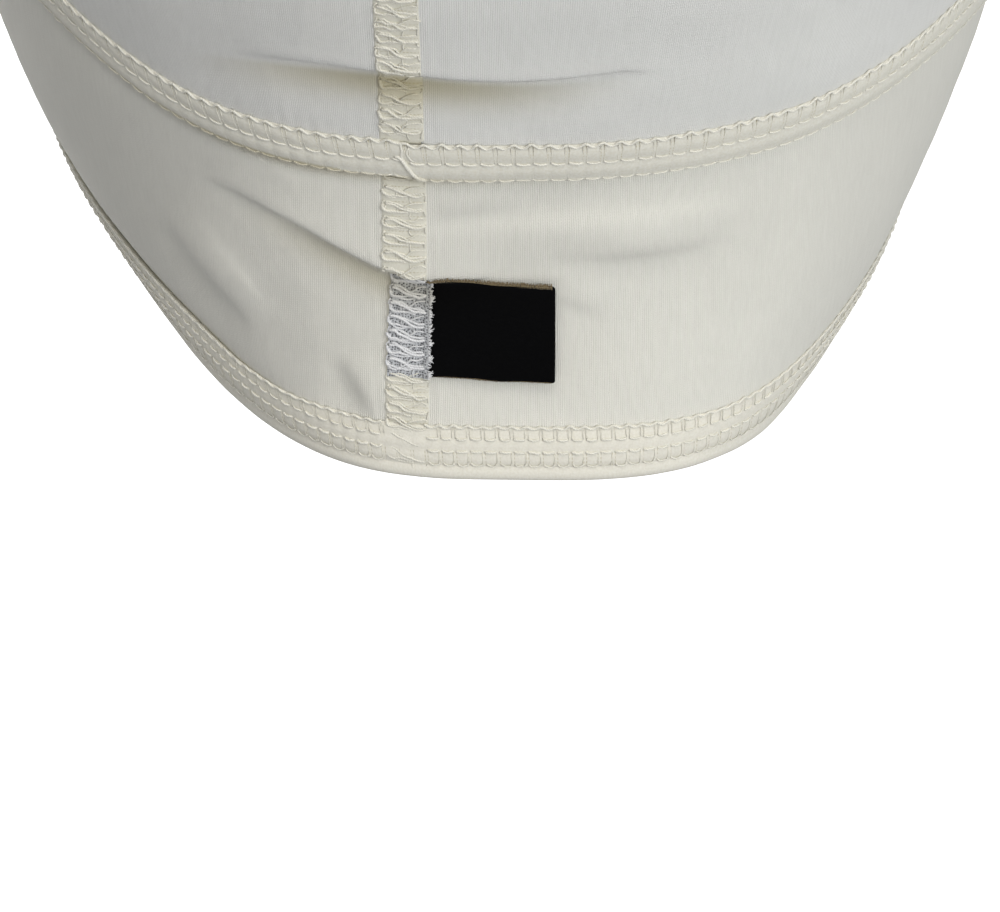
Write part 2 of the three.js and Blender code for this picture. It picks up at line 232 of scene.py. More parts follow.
def section_at(height):
    dome = np.clip((height - WIDEST_LEVEL) / (CAP_HEIGHT - WIDEST_LEVEL), 0, 1)
    size = np.maximum((1 - dome**DOME_FULLNESS) ** (1 / DOME_FULLNESS), 1e-4)
    place = np.minimum(height / WIDEST_LEVEL, 1) * (len(SECTIONS["width"]) - 1)
    width = size * section_column("width", place) * CAP_WIDTH / 2
    back = size * section_column("back", place) * BACK_REACH
    front = size * section_column("front", place) * FRONT_REACH
    return width, back, front, section_column("fullness", place)


def form_level(points):
    width, back, front, fullness = section_at(height_of(points))
    depth = np.where(points[..., 1] > 0, back, front)
    return (np.abs(points[..., 0]) / width) ** fullness + (np.abs(points[..., 1]) / depth) ** fullness - 1


def on_form(origin, direction):
    """Where a ray from inside the form leaves it."""
    near = np.zeros(direction.shape[:-1])
    far = np.full(direction.shape[:-1], 130.0)
    reach, _ = halved(near, far, lambda m: form_level(origin + direction * m[..., None]) <= 0, 28)
    return origin + direction * reach[..., None]


def form_normal(points):
    step = 0.05
    slope = np.stack([
        form_level(points + step * axis) - form_level(points - step * axis) for axis in np.eye(3)
    ], -1)
    return slope / np.linalg.norm(slope, axis=-1, keepdims=True)


def level_place(around, height):
    """The form's surface on a level ray from the head's axis."""
    around, height = np.broadcast_arrays(around, height)
    width, back, front, fullness = section_at(height)
    across, along = np.sin(around), np.cos(around)
    depth = np.where(along > 0, back, front)
    reach = ((np.abs(across) / width) ** fullness + (np.abs(along) / depth) ** fullness) ** (-1 / fullness)
    return np.stack([across * reach, along * reach, height - AXIS_ABOVE], -1)


def edge_height(name, around):
    values = np.array(EDGES[name])
    place = (around + math.pi) / (2 * math.pi / len(values))
    return CAP_HEIGHT * curve_through(lambda i: values[i % len(values)], place)


def height_along(around, height, length):
    """The height that lies a length up the cloth from another height."""
    step = 0.5
    rise = np.linalg.norm(level_place(around, height + step) - level_place(around, height), axis=-1)
    return height + length * step / rise


# ---- Folds --------------------------------------------------------------------------------


def fold_frame(fold, points):
    """Where points lie beside a fold: the share along it, the length above its line, how far
    it has faded there, and its direction as (turn, up)."""
    start, end = (
        np.array([math.radians(degrees) * NAPE_RADIUS, level * CAP_HEIGHT])
        for degrees, level in (fold["start"], fold["end"])
    )
    length = np.linalg.norm(end - start)
    run = (end - start) / length
    turned = bearing_of(points) * NAPE_RADIUS - start[0]
    risen = height_of(points) - start[1]
    along = turned * run[0] + risen * run[1]
    share = along / length
    bow = fold.get("bow", 0) * np.maximum(0, 4 * share * (1 - share))
    bow = bow + fold.get("sway", 0) * np.sin(2 * math.pi * np.clip(share, 0, 1))
    above = risen * run[0] - turned * run[1] - bow
    past = np.maximum(0, np.maximum(-along, along - length))
    fade = bell(past, 0, FOLD_FADE) * taper(fold.get("ends", FOLD_ENDS), share) ** 1.2
    return share, above, fade, run


def tucked_lift(fold, above):
    """The cloth's lift across a tucked fold: soon at its crest or hollow, and slowly back."""
    over, under = fold["reach"]
    away = np.abs(above)
    lip = 1 - np.exp(-away / LIP)
    crest = fold["crest"] * lip * np.exp(-away / over)
    return np.where(above > 0, crest, -fold["hollow"] * lip * np.exp(-away / under))


def dragged(drag, points, above):
    """How far the cloth below a fold is dragged along it."""
    near = bell(bearing_of(points), math.radians(drag["middle"]), drag["spread"] / NAPE_RADIUS)
    below = np.exp(np.minimum(above, 0) / drag["below"]) * (0.5 - 0.5 * np.tanh(above / TUCK_SOFTNESS))
    return drag["length"] * near * below


def fold_shift(points):
    """The folds' lift along the normal, and their slide over the surface as (turn, up)."""
    lift = np.zeros(points.shape[:-1])
    slide = np.zeros(points.shape[:-1] + (2,))
    for fold in FOLDS:
        share, above, fade, run = fold_frame(fold, points)
        if "tuck" not in fold:
            reach = np.abs(above) / fold["reach"]
            lobe = reach * np.exp(1 - reach) * fade
            lift += np.where(above > 0, fold["crest"] * lobe, -fold["hollow"] * lobe)
            continue
        lift += tucked_lift(fold, above) * fade
        over = fold["tuck"] * np.tanh(above / TUCK_SOFTNESS) * taper(fold["tucked"], share) ** 0.8
        over = over * np.exp(-np.abs(above) / TUCK_SPREAD)
        slide += over[..., None] * np.array([run[1], -run[0]])
        if "drag" in fold:
            slide -= dragged(fold["drag"], points, above)[..., None] * fade[..., None] * run
    return lift, slide


def below_join(points):
    """How far below the join seam's lower edge a place lies."""
    return climb(edge_height("join", bearing_of(points))) - HALF_JOIN - climb(height_of(points))


def drawn_left(points):
    """The share of the wearer's left in how the band draws in under the join seam."""
    return bell(np.degrees(bearing_of(points)), DRAW_IN["middle"], DRAW_IN["spread"])


def painted_crease_shade(points):
    """How deep a place lies in a tucked fold and close under the join seam, from 0 to 1: there the
    cloth's colour is darkened and yellowed as painted shade.
    """
    shade = np.zeros(points.shape[:-1])
    for fold in FOLDS:
        if "shaded" in fold:
            share, above, _, _ = fold_frame(fold, points)
            reach = np.where(above > -PAINTED_SHADE_MIDDLE, PAINTED_SHADE_TOP, PAINTED_SHADE_SPREAD)
            hidden = bell(above, -PAINTED_SHADE_MIDDLE, reach) * taper(fold["shaded"], share) ** 1.7
            shade = np.maximum(shade, fold["shade"] * hidden)
    below = below_join(points)
    hidden = JOIN_SHADE * drawn_left(points) * bell(below, 0, JOIN_SHADE_REACH) * (below > -0.1)
    return np.maximum(shade, hidden) * (points[..., 1] > 0)


def drawn_by_seams(points):
    """How far the cloth draws in below the join seam's lower edge and over the hem's top edge."""
    below, left = below_join(points), drawn_left(points)
    depth = DRAW_IN["right"] + (DRAW_IN["left"] - DRAW_IN["right"]) * left
    fall = DRAW_IN["right_fall"] + (DRAW_IN["left_fall"] - DRAW_IN["right_fall"]) * left
    by_join = np.where(below > -DRAWN_UNDER, depth * np.exp(-np.maximum(below, 0) / fall), 0)
    around = bearing_of(points)
    above = climb(height_of(points)) - climb(edge_height("hem", around)) - HEM_WIDTH
    start, end = (np.tanh((np.degrees(around) - HEM_DRAW[e]) / HEM_DRAW["ease"]) for e in ("start", "end"))
    by_hem = HEM_DRAW["depth"] * 0.5 * (start - end) * np.exp(-np.maximum(above, 0) / HEM_DRAW["fall"])
    return by_join + np.where(above > -DRAWN_UNDER, by_hem, 0)


def cloth(points, lift, drawn_in=True, slid=True):
    """Places on the form as places on the worn cloth, lifted along the form's normal."""
    normal = form_normal(points)
    fold, slide = fold_shift(points)
    slide = slide * np.asarray(slid)[..., None]
    if drawn_in:
        fold = fold - drawn_by_seams(points)
    around = bearing_of(points)
    turn = np.stack([np.cos(around), -np.sin(around), 0 * around], -1)
    up = np.cross(turn, normal)
    up /= np.linalg.norm(up, axis=-1, keepdims=True)
    moved = points + normal * (fold + lift)[..., None]
    return moved + turn * slide[..., :1] + up * slide[..., 1:]


def soft_noise(u, v, cell, seed):
    """Smooth noise from -1 to 1 over a plane, with features about one cell across."""
    lattice = np.random.default_rng(seed).uniform(-1, 1, (64, 64))
    x, y = u / cell, v / cell
    i, j = np.floor(x).astype(int), np.floor(y).astype(int)
    s, t = x - i, y - j
    s, t = s * s * (3 - 2 * s), t * t * (3 - 2 * t)
    low = lattice[i % 64, j % 64] * (1 - s) + lattice[(i + 1) % 64, j % 64] * s
    high = lattice[i % 64, (j + 1) % 64] * (1 - s) + lattice[(i + 1) % 64, (j + 1) % 64] * s
    return low * (1 - t) + high * t


# ---- Lengths on the form ------------------------------------------------------------------


def make_climb_table():
    """Heights and the lengths up the side of the form that reach them."""
    low = np.linspace(-6, WIDEST_LEVEL, 300)
    angle = np.linspace(0, math.pi / 2, 400)[1:]
    high = WIDEST_LEVEL + (CAP_HEIGHT - WIDEST_LEVEL) * np.sin(angle) ** (2 / DOME_FULLNESS)
    height = np.concatenate([low, high])
    side = level_place(np.full(height.shape, math.pi / 2), height)
    steps = np.linalg.norm(np.diff(side, axis=0), axis=1)
    return height, np.concatenate([[0], np.cumsum(steps)])


CLIMB_HEIGHTS, CLIMB_LENGTHS = make_climb_table()
CLIMB_TOP = CLIMB_LENGTHS[-1]


def climb(height):
    return np.interp(height, CLIMB_HEIGHTS, CLIMB_LENGTHS)


def height_at_climb(length):
    return np.interp(length, CLIMB_LENGTHS, CLIMB_HEIGHTS)


LEVELS = np.linspace(-4, CAP_HEIGHT - 0.01, 160)
BEARINGS = np.linspace(-math.pi, 1.5 * math.pi, 451)


def make_girth_table():
    """Lengths round each level, from the middle of the back."""
    ring = level_place(BEARINGS[None, :], LEVELS[:, None])
    steps = np.linalg.norm(np.diff(ring, axis=1), axis=-1)
    length = np.concatenate([np.zeros((len(LEVELS), 1)), np.cumsum(steps, axis=1)], axis=1)
    middle = np.argmin(np.abs(BEARINGS))
    return length - length[:, middle:middle + 1]


GIRTHS = make_girth_table()


def girth(around, height):
    row = np.clip((height - LEVELS[0]) / (LEVELS[1] - LEVELS[0]), 0, len(LEVELS) - 1.001)
    column = np.clip((around - BEARINGS[0]) / (BEARINGS[1] - BEARINGS[0]), 0, len(BEARINGS) - 1.001)
    i, j = row.astype(int), column.astype(int)
    s, t = row - i, column - j
    near = GIRTHS[i, j] * (1 - t) + GIRTHS[i, j + 1] * t
    far = GIRTHS[i + 1, j] * (1 - t) + GIRTHS[i + 1, j + 1] * t
    return near * (1 - s) + far * s


# ---- The seams' own coordinates -----------------------------------------------------------


class EdgeLine:
    """Places beside the hem's edge or the join seam: length round it, length up from it."""

    def __init__(self, name):
        self.name = name
        self.around = np.linspace(-math.pi, math.pi, 2401)
        line = level_place(self.around, edge_height(name, self.around))
        steps = np.linalg.norm(np.diff(line, axis=0), axis=1)
        self.lengths = np.concatenate([[0], np.cumsum(steps)])
        self.length = self.lengths[-1]

    def bearing(self, length):
        return np.interp(np.mod(length, self.length), self.lengths, self.around)

    def form(self, length, up):
        around = self.bearing(length)
        height = height_along(around, edge_height(self.name, around), up)
        return level_place(around, height)

    def place(self, length, up, lift):
        return cloth(self.form(length, up), lift, drawn_in=False)


SEAM_FRAME = (
    Matrix.Translation((SEAM_AT_TOP, 0, 0))
    @ Matrix.Rotation(-CAP_TURN, 4, "Z")
    @ Matrix.Rotation(-CAP_LEAN, 4, "Y")
)
SEAM_TURN = np.array(SEAM_FRAME.to_3x3())
SEAM_ORIGIN = np.array(SEAM_FRAME.translation)


def seam_offset(points):
    """How far a place lies from the seam's plane, towards the wearer's left."""
    return (points - SEAM_ORIGIN) @ SEAM_TURN[:, 0]


def seam_bearing(place_at, offset, low, high):
    """Bearings, one for each row, at which place_at(bearing) lies at an offset from the seam."""
    low, high = halved(low, high, lambda m: seam_offset(place_at(m)) < offset, 30)
    return (low + high) / 2


QUARTER = np.full(LEVELS.shape, math.pi / 2)
BACK_BEARINGS = seam_bearing(lambda a: level_place(a, LEVELS), 0, -QUARTER, QUARTER)
FRONT_BEARINGS = math.pi - seam_bearing(lambda a: level_place(math.pi - a, LEVELS), 0, -QUARTER, QUARTER)


def crown_weave(around, height, side):
    """Lengths round the crown from the side of the head. Below the widest level the knit is
    stretched, so that its wales run beside the seam."""
    def stretch(bearings):
        reach = np.abs(girth(bearings, LEVELS) - girth(side * QUARTER, LEVELS))
        widest = np.interp(WIDEST_LEVEL, LEVELS, reach)
        return np.interp(height, LEVELS, np.where(LEVELS < WIDEST_LEVEL, widest / reach, 1))

    front = FRONT_BEARINGS - (2 * math.pi if side < 0 else 0)
    share = np.where(np.cos(around) > 0, stretch(BACK_BEARINGS), stretch(front))
    return (girth(around, height) - girth(np.full(around.shape, side * math.pi / 2), height)) * share


def band_weave(around, height):
    """Lengths round the band from the back seam, the same both ways."""
    start = girth(np.interp(height, LEVELS, BACK_BEARINGS), height)
    return np.abs(girth(around, height) - start * (0.5 + 0.5 * np.cos(around)))


class SeamLine:
    """Places along the seam from the nape over the head: length along it, offset from it."""

    def __init__(self):
        self.angles = np.radians(np.linspace(-80, 260, 1361))
        middle = self.at_angle(0 * self.angles, self.angles)
        steps = np.linalg.norm(np.diff(middle, axis=0), axis=1)
        lengths = np.concatenate([[0], np.cumsum(steps)])
        around, height = bearing_of(middle), height_of(middle)
        hem_rise = height - edge_height("hem", around)
        start = np.argmax(hem_rise > 0)
        share = -hem_rise[start - 1] / (hem_rise[start] - hem_rise[start - 1])
        zero = lengths[start - 1] + share * (lengths[start] - lengths[start - 1])
        self.lengths = lengths - zero
        join_rise = height - edge_height("join", around)
        above = np.nonzero(join_rise > 0)[0]
        self.back_join = self.lengths[above[0]]
        self.front_join = self.lengths[above[-1]]

    def at_angle(self, offset, angle):
        offset, angle = np.broadcast_arrays(offset, angle)
        centre = np.stack([offset, 0 * offset, 0 * offset + RAY_CENTRE], -1)
        direction = np.stack([0 * angle, np.cos(angle), np.sin(angle)], -1)
        return on_form(centre @ SEAM_TURN.T + SEAM_ORIGIN, direction @ SEAM_TURN.T)

    def form(self, length, offset):
        return self.at_angle(offset, np.interp(length, self.lengths, self.angles))

    def place(self, length, offset, lift):
        return cloth(self.form(length, offset), lift)


JOIN = EdgeLine("join")
HEM = EdgeLine("hem")
SEAM = SeamLine()


def join_length_at_seam():
    """The length round the join seam at which the back seam crosses it."""
    around = JOIN.around
    offset = seam_offset(level_place(around, edge_height("join", around)))
    behind = np.abs(around) < math.pi / 3
    return float(np.interp(0, offset[behind], JOIN.lengths[behind]))


JOIN_ENDS = join_length_at_seam() - 0.3


# ---- Meshes -------------------------------------------------------------------------------


def make_piece(name, points, faces, uv, material):
    """points in millimetres and faces as index lists, with a map for the weave and the threads."""
    mesh = bpy.data.meshes.new(name)
    mesh.from_pydata(points * MM, [], faces)
    layer = mesh.uv_layers.new(name="weave")
    corners = np.zeros(len(mesh.loops), np.int32)
    mesh.loops.foreach_get("vertex_index", corners)
    layer.uv.foreach_set("vector", np.asarray(uv)[corners].astype(np.float32).ravel())
    # The painted shade of the tucked folds and under the join seam, kept in each piece's crease map.
    shade = painted_crease_shade(points)
    shades = mesh.uv_layers.new(name="crease")
    shades.uv.foreach_set("vector", np.stack([shade, 0 * shade], -1)[corners].astype(np.float32).ravel())
    mesh.polygons.foreach_set("use_smooth", np.ones(len(mesh.polygons), bool))
    mesh.materials.append(material)
    mesh.update()
    piece = bpy.data.objects.new(name, mesh)
    bpy.context.scene.collection.objects.link(piece)
    return piece


def grid_faces(rows, columns, closed_rows=False, closed_columns=False):
    """Quads over a grid of points, numbered row by row."""
    r = np.arange(rows if closed_rows else rows - 1)
    c = np.arange(columns if closed_columns else columns - 1)
    r, c = (a.ravel() for a in np.meshgrid(r, c, indexing="ij"))
    up, on = (r + 1) % rows, (c + 1) % columns
    return np.stack([r * columns + c, r * columns + on, up * columns + on, up * columns + c], -1)


def wall_piece(name, outer, inner, uv, material, flip=False):
    """A closed wall between two grids of points that share one map."""
    rows, columns = outer.shape[:2]
    count = rows * columns
    front = grid_faces(rows, columns)
    back = front[:, ::-1] + count
    index = np.arange(count).reshape(rows, columns)
    rim = np.concatenate([index[0, :-1], index[:-1, -1], index[-1, :0:-1], index[:0:-1, 0]])
    after = np.roll(rim, -1)
    sides = np.stack([after, rim, rim + count, after + count], -1)
    faces = np.concatenate([front, back, sides])
    if flip:
        faces = faces[:, ::-1]
    points = np.concatenate([outer.reshape(-1, 3), inner.reshape(-1, 3)])
    maps = np.concatenate([uv.reshape(-1, 2)] * 2)
    return make_piece(name, points, faces.tolist(), maps, material)


def ring_piece(name, sections, uv, material):
    """A closed ring: sections (around, section, 3) with closed sections. The map's jump at the
    ring's end lies at the front of the head."""
    rings, count = sections.shape[:2]
    faces = grid_faces(rings, count, closed_rows=True, closed_columns=True)
    return make_piece(name, sections.reshape(-1, 3), faces.tolist(), uv.reshape(-1, 2), material)


def strip_piece(name, sections, uv, material):
    """A closed strip: sections (along, section, 3) with closed sections and flat ends."""
    rings, count = sections.shape[:2]
    faces = grid_faces(rings, count, closed_columns=True)[:, ::-1]
    first = list(range(count))
    last = [(rings - 1) * count + i for i in first]
    ends = [first, last[::-1]]
    return make_piece(name, sections.reshape(-1, 3), faces.tolist() + ends, uv.reshape(-1, 2), material)


def smooth_path(points, count):
    """More points on a smooth curve through a few: (..., few, n) to (..., count, n)."""
    few = points.shape[-2]

    def value_at(i):
        low = points[..., :1, :] * 2 - points[..., 1:2, :]
        high = points[..., -1:, :] * 2 - points[..., -2:-1, :]
        padded = np.concatenate([low, points, high], axis=-2)
        return padded[..., np.clip(i + 1, 0, few + 1), :]

    place = np.linspace(0, few - 1 - 1e-9, count)
    step = np.floor(place).astype(int)
    return spline(*(value_at(step + k) for k in (-1, 0, 1, 2)), (place - step)[:, None])


def tubes(paths, radius, sides):
    """Round closed threads along paths (many, count, 3): points, faces and a map each."""
    many, count = paths.shape[:2]
    tangent = np.gradient(paths, axis=1)
    tangent /= np.linalg.norm(tangent, axis=-1, keepdims=True) + 1e-9
    outward = form_normal(paths)
    side = np.cross(tangent, outward)
    side /= np.linalg.norm(side, axis=-1, keepdims=True) + 1e-9
    rise = np.cross(side, tangent)
    turn = 2 * math.pi * np.arange(sides) / sides
    thick = np.broadcast_to(radius, (many, count))[..., None, None]
    ring = side[..., None, :] * np.cos(turn)[:, None] + rise[..., None, :] * np.sin(turn)[:, None]
    points = paths[..., None, :] + thick * ring
    quads = grid_faces(count, sides, closed_columns=True)
    starts = (np.arange(many) * count * sides)[:, None, None]
    faces = (quads[None] + starts).reshape(-1, 4)[:, ::-1].tolist()
    first = np.arange(sides)
    for start in starts.ravel():
        faces.append((first + start).tolist())
        faces.append((first[::-1] + start + (count - 1) * sides).tolist())
    run = np.linalg.norm(np.diff(paths, axis=1), axis=-1)
    along = np.concatenate([np.zeros((many, 1)), np.cumsum(run, axis=1)], axis=1)
    maps = np.stack(np.broadcast_arrays(along[..., None], turn / (2 * math.pi)), -1)
    return points.reshape(-1, 3), faces, maps.reshape(-1, 2)


def joined(parts):
    """Several lots of points, faces and maps as one."""
    points, faces, maps, count = [], [], [], 0
    for more_points, more_faces, more_maps in parts:
        faces.extend([i + count for i in face] for face in more_faces)
        points.append(more_points)
        maps.append(more_maps)
        count += len(more_points)
    return np.concatenate(points), faces, np.concatenate(maps)


def graded(length, spacing_at):
    """Places from 0 to a length, with the spacing that a function gives at each place."""
    places = [0.0]
    while places[-1] < length:
        places.append(places[-1] + spacing_at(places[-1]))
    return np.array(places) * length / places[-1]


# ---- Materials ----------------------------------------------------------------------------


class Nodes:
    """Shorthand for building one material's node tree."""

    def __init__(self, name):
        self.material = bpy.data.materials.new(name)
        self.material.use_nodes = True
        self.tree = self.material.node_tree
        self.tree.nodes.clear()
        self.shader = self.tree.nodes.new("ShaderNodeBsdfPrincipled")
        output = self.tree.nodes.new("ShaderNodeOutputMaterial")
        self.tree.links.new(self.shader.outputs[0], output.inputs[0])

    def node(self, kind, **settings):
        made = self.tree.nodes.new(kind)
        for key, value in settings.items():
            setattr(made, key, value)
        return made

    def feed(self, socket, value):
        if isinstance(value, bpy.types.NodeSocket):
            self.tree.links.new(value, socket)
        else:
            socket.default_value = value

    def math(self, operation, *values):
        made = self.node("ShaderNodeMath", operation=operation)
        for socket, value in zip(made.inputs, values):
            self.feed(socket, value)
        return made.outputs[0]

    def weave(self):
        """The weave map as two numbers, in millimetres or in stitches."""
        source = self.node("ShaderNodeUVMap", uv_map="weave")
        split = self.node("ShaderNodeSeparateXYZ")
        self.tree.links.new(source.outputs[0], split.inputs[0])
        return split.outputs[0], split.outputs[1]

    def noise(self, u, v, u_scale, v_scale, detail=2.0):
        place = self.node("ShaderNodeCombineXYZ")
        self.feed(place.inputs[0], self.math("MULTIPLY", u, u_scale))
        self.feed(place.inputs[1], self.math("MULTIPLY", v, v_scale))
        made = self.node("ShaderNodeTexNoise", noise_dimensions="2D")
        self.feed(made.inputs["Vector"], place.outputs[0])
        made.inputs["Scale"].default_value = 1.0
        made.inputs["Detail"].default_value = detail
        return made.outputs["Fac"]

    def between(self, share, low, high):
        """A value from low to high as share goes from 0 to 1."""
        made = self.node("ShaderNodeMapRange")
        self.feed(made.inputs["Value"], share)
        made.inputs["To Min"].default_value = low
        made.inputs["To Max"].default_value = high
        return made.outputs[0]

    def tint(self, share, dark, light):
        made = self.node("ShaderNodeMix", data_type="RGBA")
        self.feed(made.inputs[0], share)
        made.inputs[6].default_value = (*dark, 1)
        made.inputs[7].default_value = (*light, 1)
        # Painted shade: the colour is multiplied towards the painted shade colour as the crease map says.
        source = self.node("ShaderNodeUVMap", uv_map="crease")
        split = self.node("ShaderNodeSeparateXYZ")
        self.tree.links.new(source.outputs[0], split.inputs[0])
        shaded = self.node("ShaderNodeMix", data_type="RGBA", blend_type="MULTIPLY")
        self.feed(shaded.inputs[0], split.outputs[0])
        self.feed(shaded.inputs[6], made.outputs[2])
        shaded.inputs[7].default_value = PAINTED_SHADE_COLOUR
        self.tree.links.new(shaded.outputs[2], self.shader.inputs["Base Color"])

    def bump(self, height, depth_mm, strength):
        made = self.node("ShaderNodeBump")
        made.inputs["Strength"].default_value = strength
        made.inputs["Distance"].default_value = depth_mm * MM
        self.feed(made.inputs["Height"], height)
        self.tree.links.new(made.outputs[0], self.shader.inputs["Normal"])

    def finish(self, **values):
        for name, value in values.items():
            self.shader.inputs[name.replace("_", " ")].default_value = value
        return self.material


WALE = 0.62  # the knit's stitches: their width and height
COURSE = 0.4
WEFT_PITCH = 0.28
WARP_PITCH = 0.2
HOLE_REACH = 0.045  # how wide a needle's hole is, in stitches


def knit_height(nodes):
    """Rows of V-shaped stitches: the two legs of each stitch lean together."""
    u, v = nodes.weave()
    drift = nodes.math("MULTIPLY", nodes.math("SUBTRACT", nodes.noise(u, v, 0.16, 0.05), 0.5), 0.8)
    across = nodes.math("ADD", nodes.math("DIVIDE", u, WALE), drift)
    saw = nodes.math("SUBTRACT", nodes.math("MULTIPLY", nodes.math("FRACT", across), 2.0), 1.0)
    from_middle = nodes.math("ABSOLUTE", saw)
    leg = nodes.math("SUBTRACT", nodes.math("MULTIPLY", from_middle, 2.0), 1.0)
    leg = nodes.math("SUBTRACT", 1.0, nodes.math("MULTIPLY", leg, leg))
    rows = nodes.math("ADD", nodes.math("DIVIDE", v, COURSE), nodes.math("MULTIPLY", from_middle, 0.7))
    wave = nodes.math("COSINE", nodes.math("MULTIPLY", rows, 2 * math.pi))
    wave = nodes.math("MULTIPLY_ADD", wave, 0.18, 0.82)
    return u, v, nodes.math("MULTIPLY", leg, wave)


def jersey_material(name, dark, light):
    nodes = Nodes(name)
    u, v, knit = knit_height(nodes)
    slub = nodes.noise(u, v, 1.6, 0.25, 3.0)
    grain = nodes.noise(u, v, 3.2, 2.6, 2.0)
    patch = nodes.noise(u, v, 0.05, 0.05, 2.0)
    tone = nodes.math("MULTIPLY_ADD", knit, 0.3, 0.19)
    tone = nodes.math("ADD", tone, nodes.math("MULTIPLY", slub, 0.34))
    tone = nodes.math("ADD", tone, nodes.math("MULTIPLY", grain, 0.22))
    tone = nodes.math("ADD", tone, nodes.math("MULTIPLY_ADD", patch, 0.14, -0.07))
    nodes.tint(tone, dark, light)
    height = nodes.math("ADD", knit, nodes.math("MULTIPLY", grain, 0.5))
    nodes.bump(height, 0.07, 0.8)
    nodes.feed(nodes.shader.inputs["Roughness"], nodes.between(grain, 0.72, 0.9))
    return nodes.finish(Sheen_Weight=0.03, Sheen_Roughness=0.45, Specular_IOR_Level=0.14)


def thread_material(name, dark, light):
    """Soft textured thread: plies wind round it."""
    nodes = Nodes(name)
    u, v = nodes.weave()
    ply = nodes.math("MULTIPLY_ADD", u, 2.6, nodes.math("MULTIPLY", v, 2.0))
    ply = nodes.math("SINE", nodes.math("MULTIPLY", ply, 2 * math.pi))
    ply = nodes.math("MULTIPLY_ADD", ply, 0.5, 0.5)
    fuzz = nodes.noise(u, v, 3.0, 3.0, 3.0)
    tone = nodes.math("MULTIPLY_ADD", ply, 0.35, nodes.math("MULTIPLY", fuzz, 0.65))
    nodes.tint(tone, dark, light)
    nodes.bump(nodes.math("ADD", ply, fuzz), 0.04, 0.6)
    nodes.feed(nodes.shader.inputs["Roughness"], nodes.between(fuzz, 0.5, 0.75))
    return nodes.finish(Sheen_Weight=0.15, Specular_IOR_Level=0.35)


def tape_material():
    """The label's woven end: pale net with dark pores."""
    nodes = Nodes("label_net")
    u, v = nodes.weave()
    place = nodes.node("ShaderNodeCombineXYZ")
    nodes.feed(place.inputs[0], nodes.math("MULTIPLY", u, 2.5))
    nodes.feed(place.inputs[1], nodes.math("MULTIPLY", v, 2.5))
    pores = nodes.node("ShaderNodeTexVoronoi", voronoi_dimensions="2D", feature="F1")
    nodes.feed(pores.inputs["Vector"], place.outputs[0])
    pores.inputs["Scale"].default_value = 1.0
    pores.inputs["Randomness"].default_value = 0.7
    size = nodes.noise(u, v, 1.2, 1.2, 2.0)
    narrower = nodes.math("MULTIPLY", size, -0.9)
    open_share = nodes.math("MULTIPLY_ADD", pores.outputs["Distance"], 3.6, narrower)
    nodes.tint(open_share, (0.06, 0.06, 0.065), (0.60, 0.61, 0.62))
    nodes.bump(open_share, 0.06, 0.6)
    return nodes.finish(Roughness=0.8, Specular_IOR_Level=0.2)


def ribbon_material():
    """Tight black ribbon, with fine ribs of weft."""
    nodes = Nodes("woven_label")
    u, v = nodes.weave()
    weft = nodes.math("SINE", nodes.math("MULTIPLY", v, 2 * math.pi / WEFT_PITCH))
    warp = nodes.math("SINE", nodes.math("MULTIPLY", u, 2 * math.pi / WARP_PITCH))
    weave = nodes.math("MULTIPLY_ADD", nodes.math("MULTIPLY", warp, weft), 0.5, 0.5)
    lint = nodes.noise(u, v, 1.4, 1.4, 4.0)
    tone = nodes.math("MULTIPLY", weave, nodes.math("MULTIPLY", lint, lint))
    nodes.tint(tone, (0.0012, 0.0012, 0.0014), (0.0034, 0.0034, 0.0038))
    nodes.bump(weave, 0.05, 0.5)
    return nodes.finish(Roughness=0.9, Specular_IOR_Level=0.04)


def stitched_material(name, holes, apart, dark, light):
    """Cloth under stitches, with the needles' holes in two lines beside each bar: the map runs
    in stitches along the seam and in millimetres across it. holes are the rows between which
    they lie, and apart is how far from the bar."""
    nodes = Nodes(name)
    u, v = nodes.weave()
    grain = nodes.noise(nodes.math("MULTIPLY", u, 2.0), v, 3.0, 3.0, 3.0)
    cell = nodes.math("FRACT", nodes.math("ADD", u, 0.5))
    from_bar = nodes.math("ABSOLUTE", nodes.math("SUBTRACT", cell, 0.5))
    from_line = nodes.math("ABSOLUTE", nodes.math("SUBTRACT", from_bar, apart))
    near_line = nodes.math("MULTIPLY_ADD", from_line, -1 / HOLE_REACH, 1.0)
    near_line = nodes.math("SMOOTH_MAX", near_line, 0.0, 0.1)
    dots = nodes.math("SINE", nodes.math("MULTIPLY", v, 2 * math.pi / 0.5))
    dots = nodes.math("MULTIPLY_ADD", dots, 0.4, 0.55)
    low, high = holes
    middle, half = (low + high) / 2, (high - low) / 2
    in_row = nodes.math("LESS_THAN", nodes.math("ABSOLUTE", nodes.math("SUBTRACT", v, middle)), half)
    hole = nodes.math("MULTIPLY", nodes.math("MULTIPLY", near_line, dots), in_row)
    uneven = nodes.noise(u, v, 0.8, 0.5, 1.0)
    hole = nodes.math("MULTIPLY", hole, nodes.math("MULTIPLY_ADD", uneven, 2.0, -0.2))
    tone = nodes.math("SUBTRACT", nodes.math("MULTIPLY_ADD", grain, 0.5, 0.58), hole)
    nodes.tint(tone, dark, light)
    nodes.bump(nodes.math("SUBTRACT", grain, hole), 0.04, 0.5)
    return nodes.finish(Roughness=0.82, Sheen_Weight=0.03, Specular_IOR_Level=0.18)
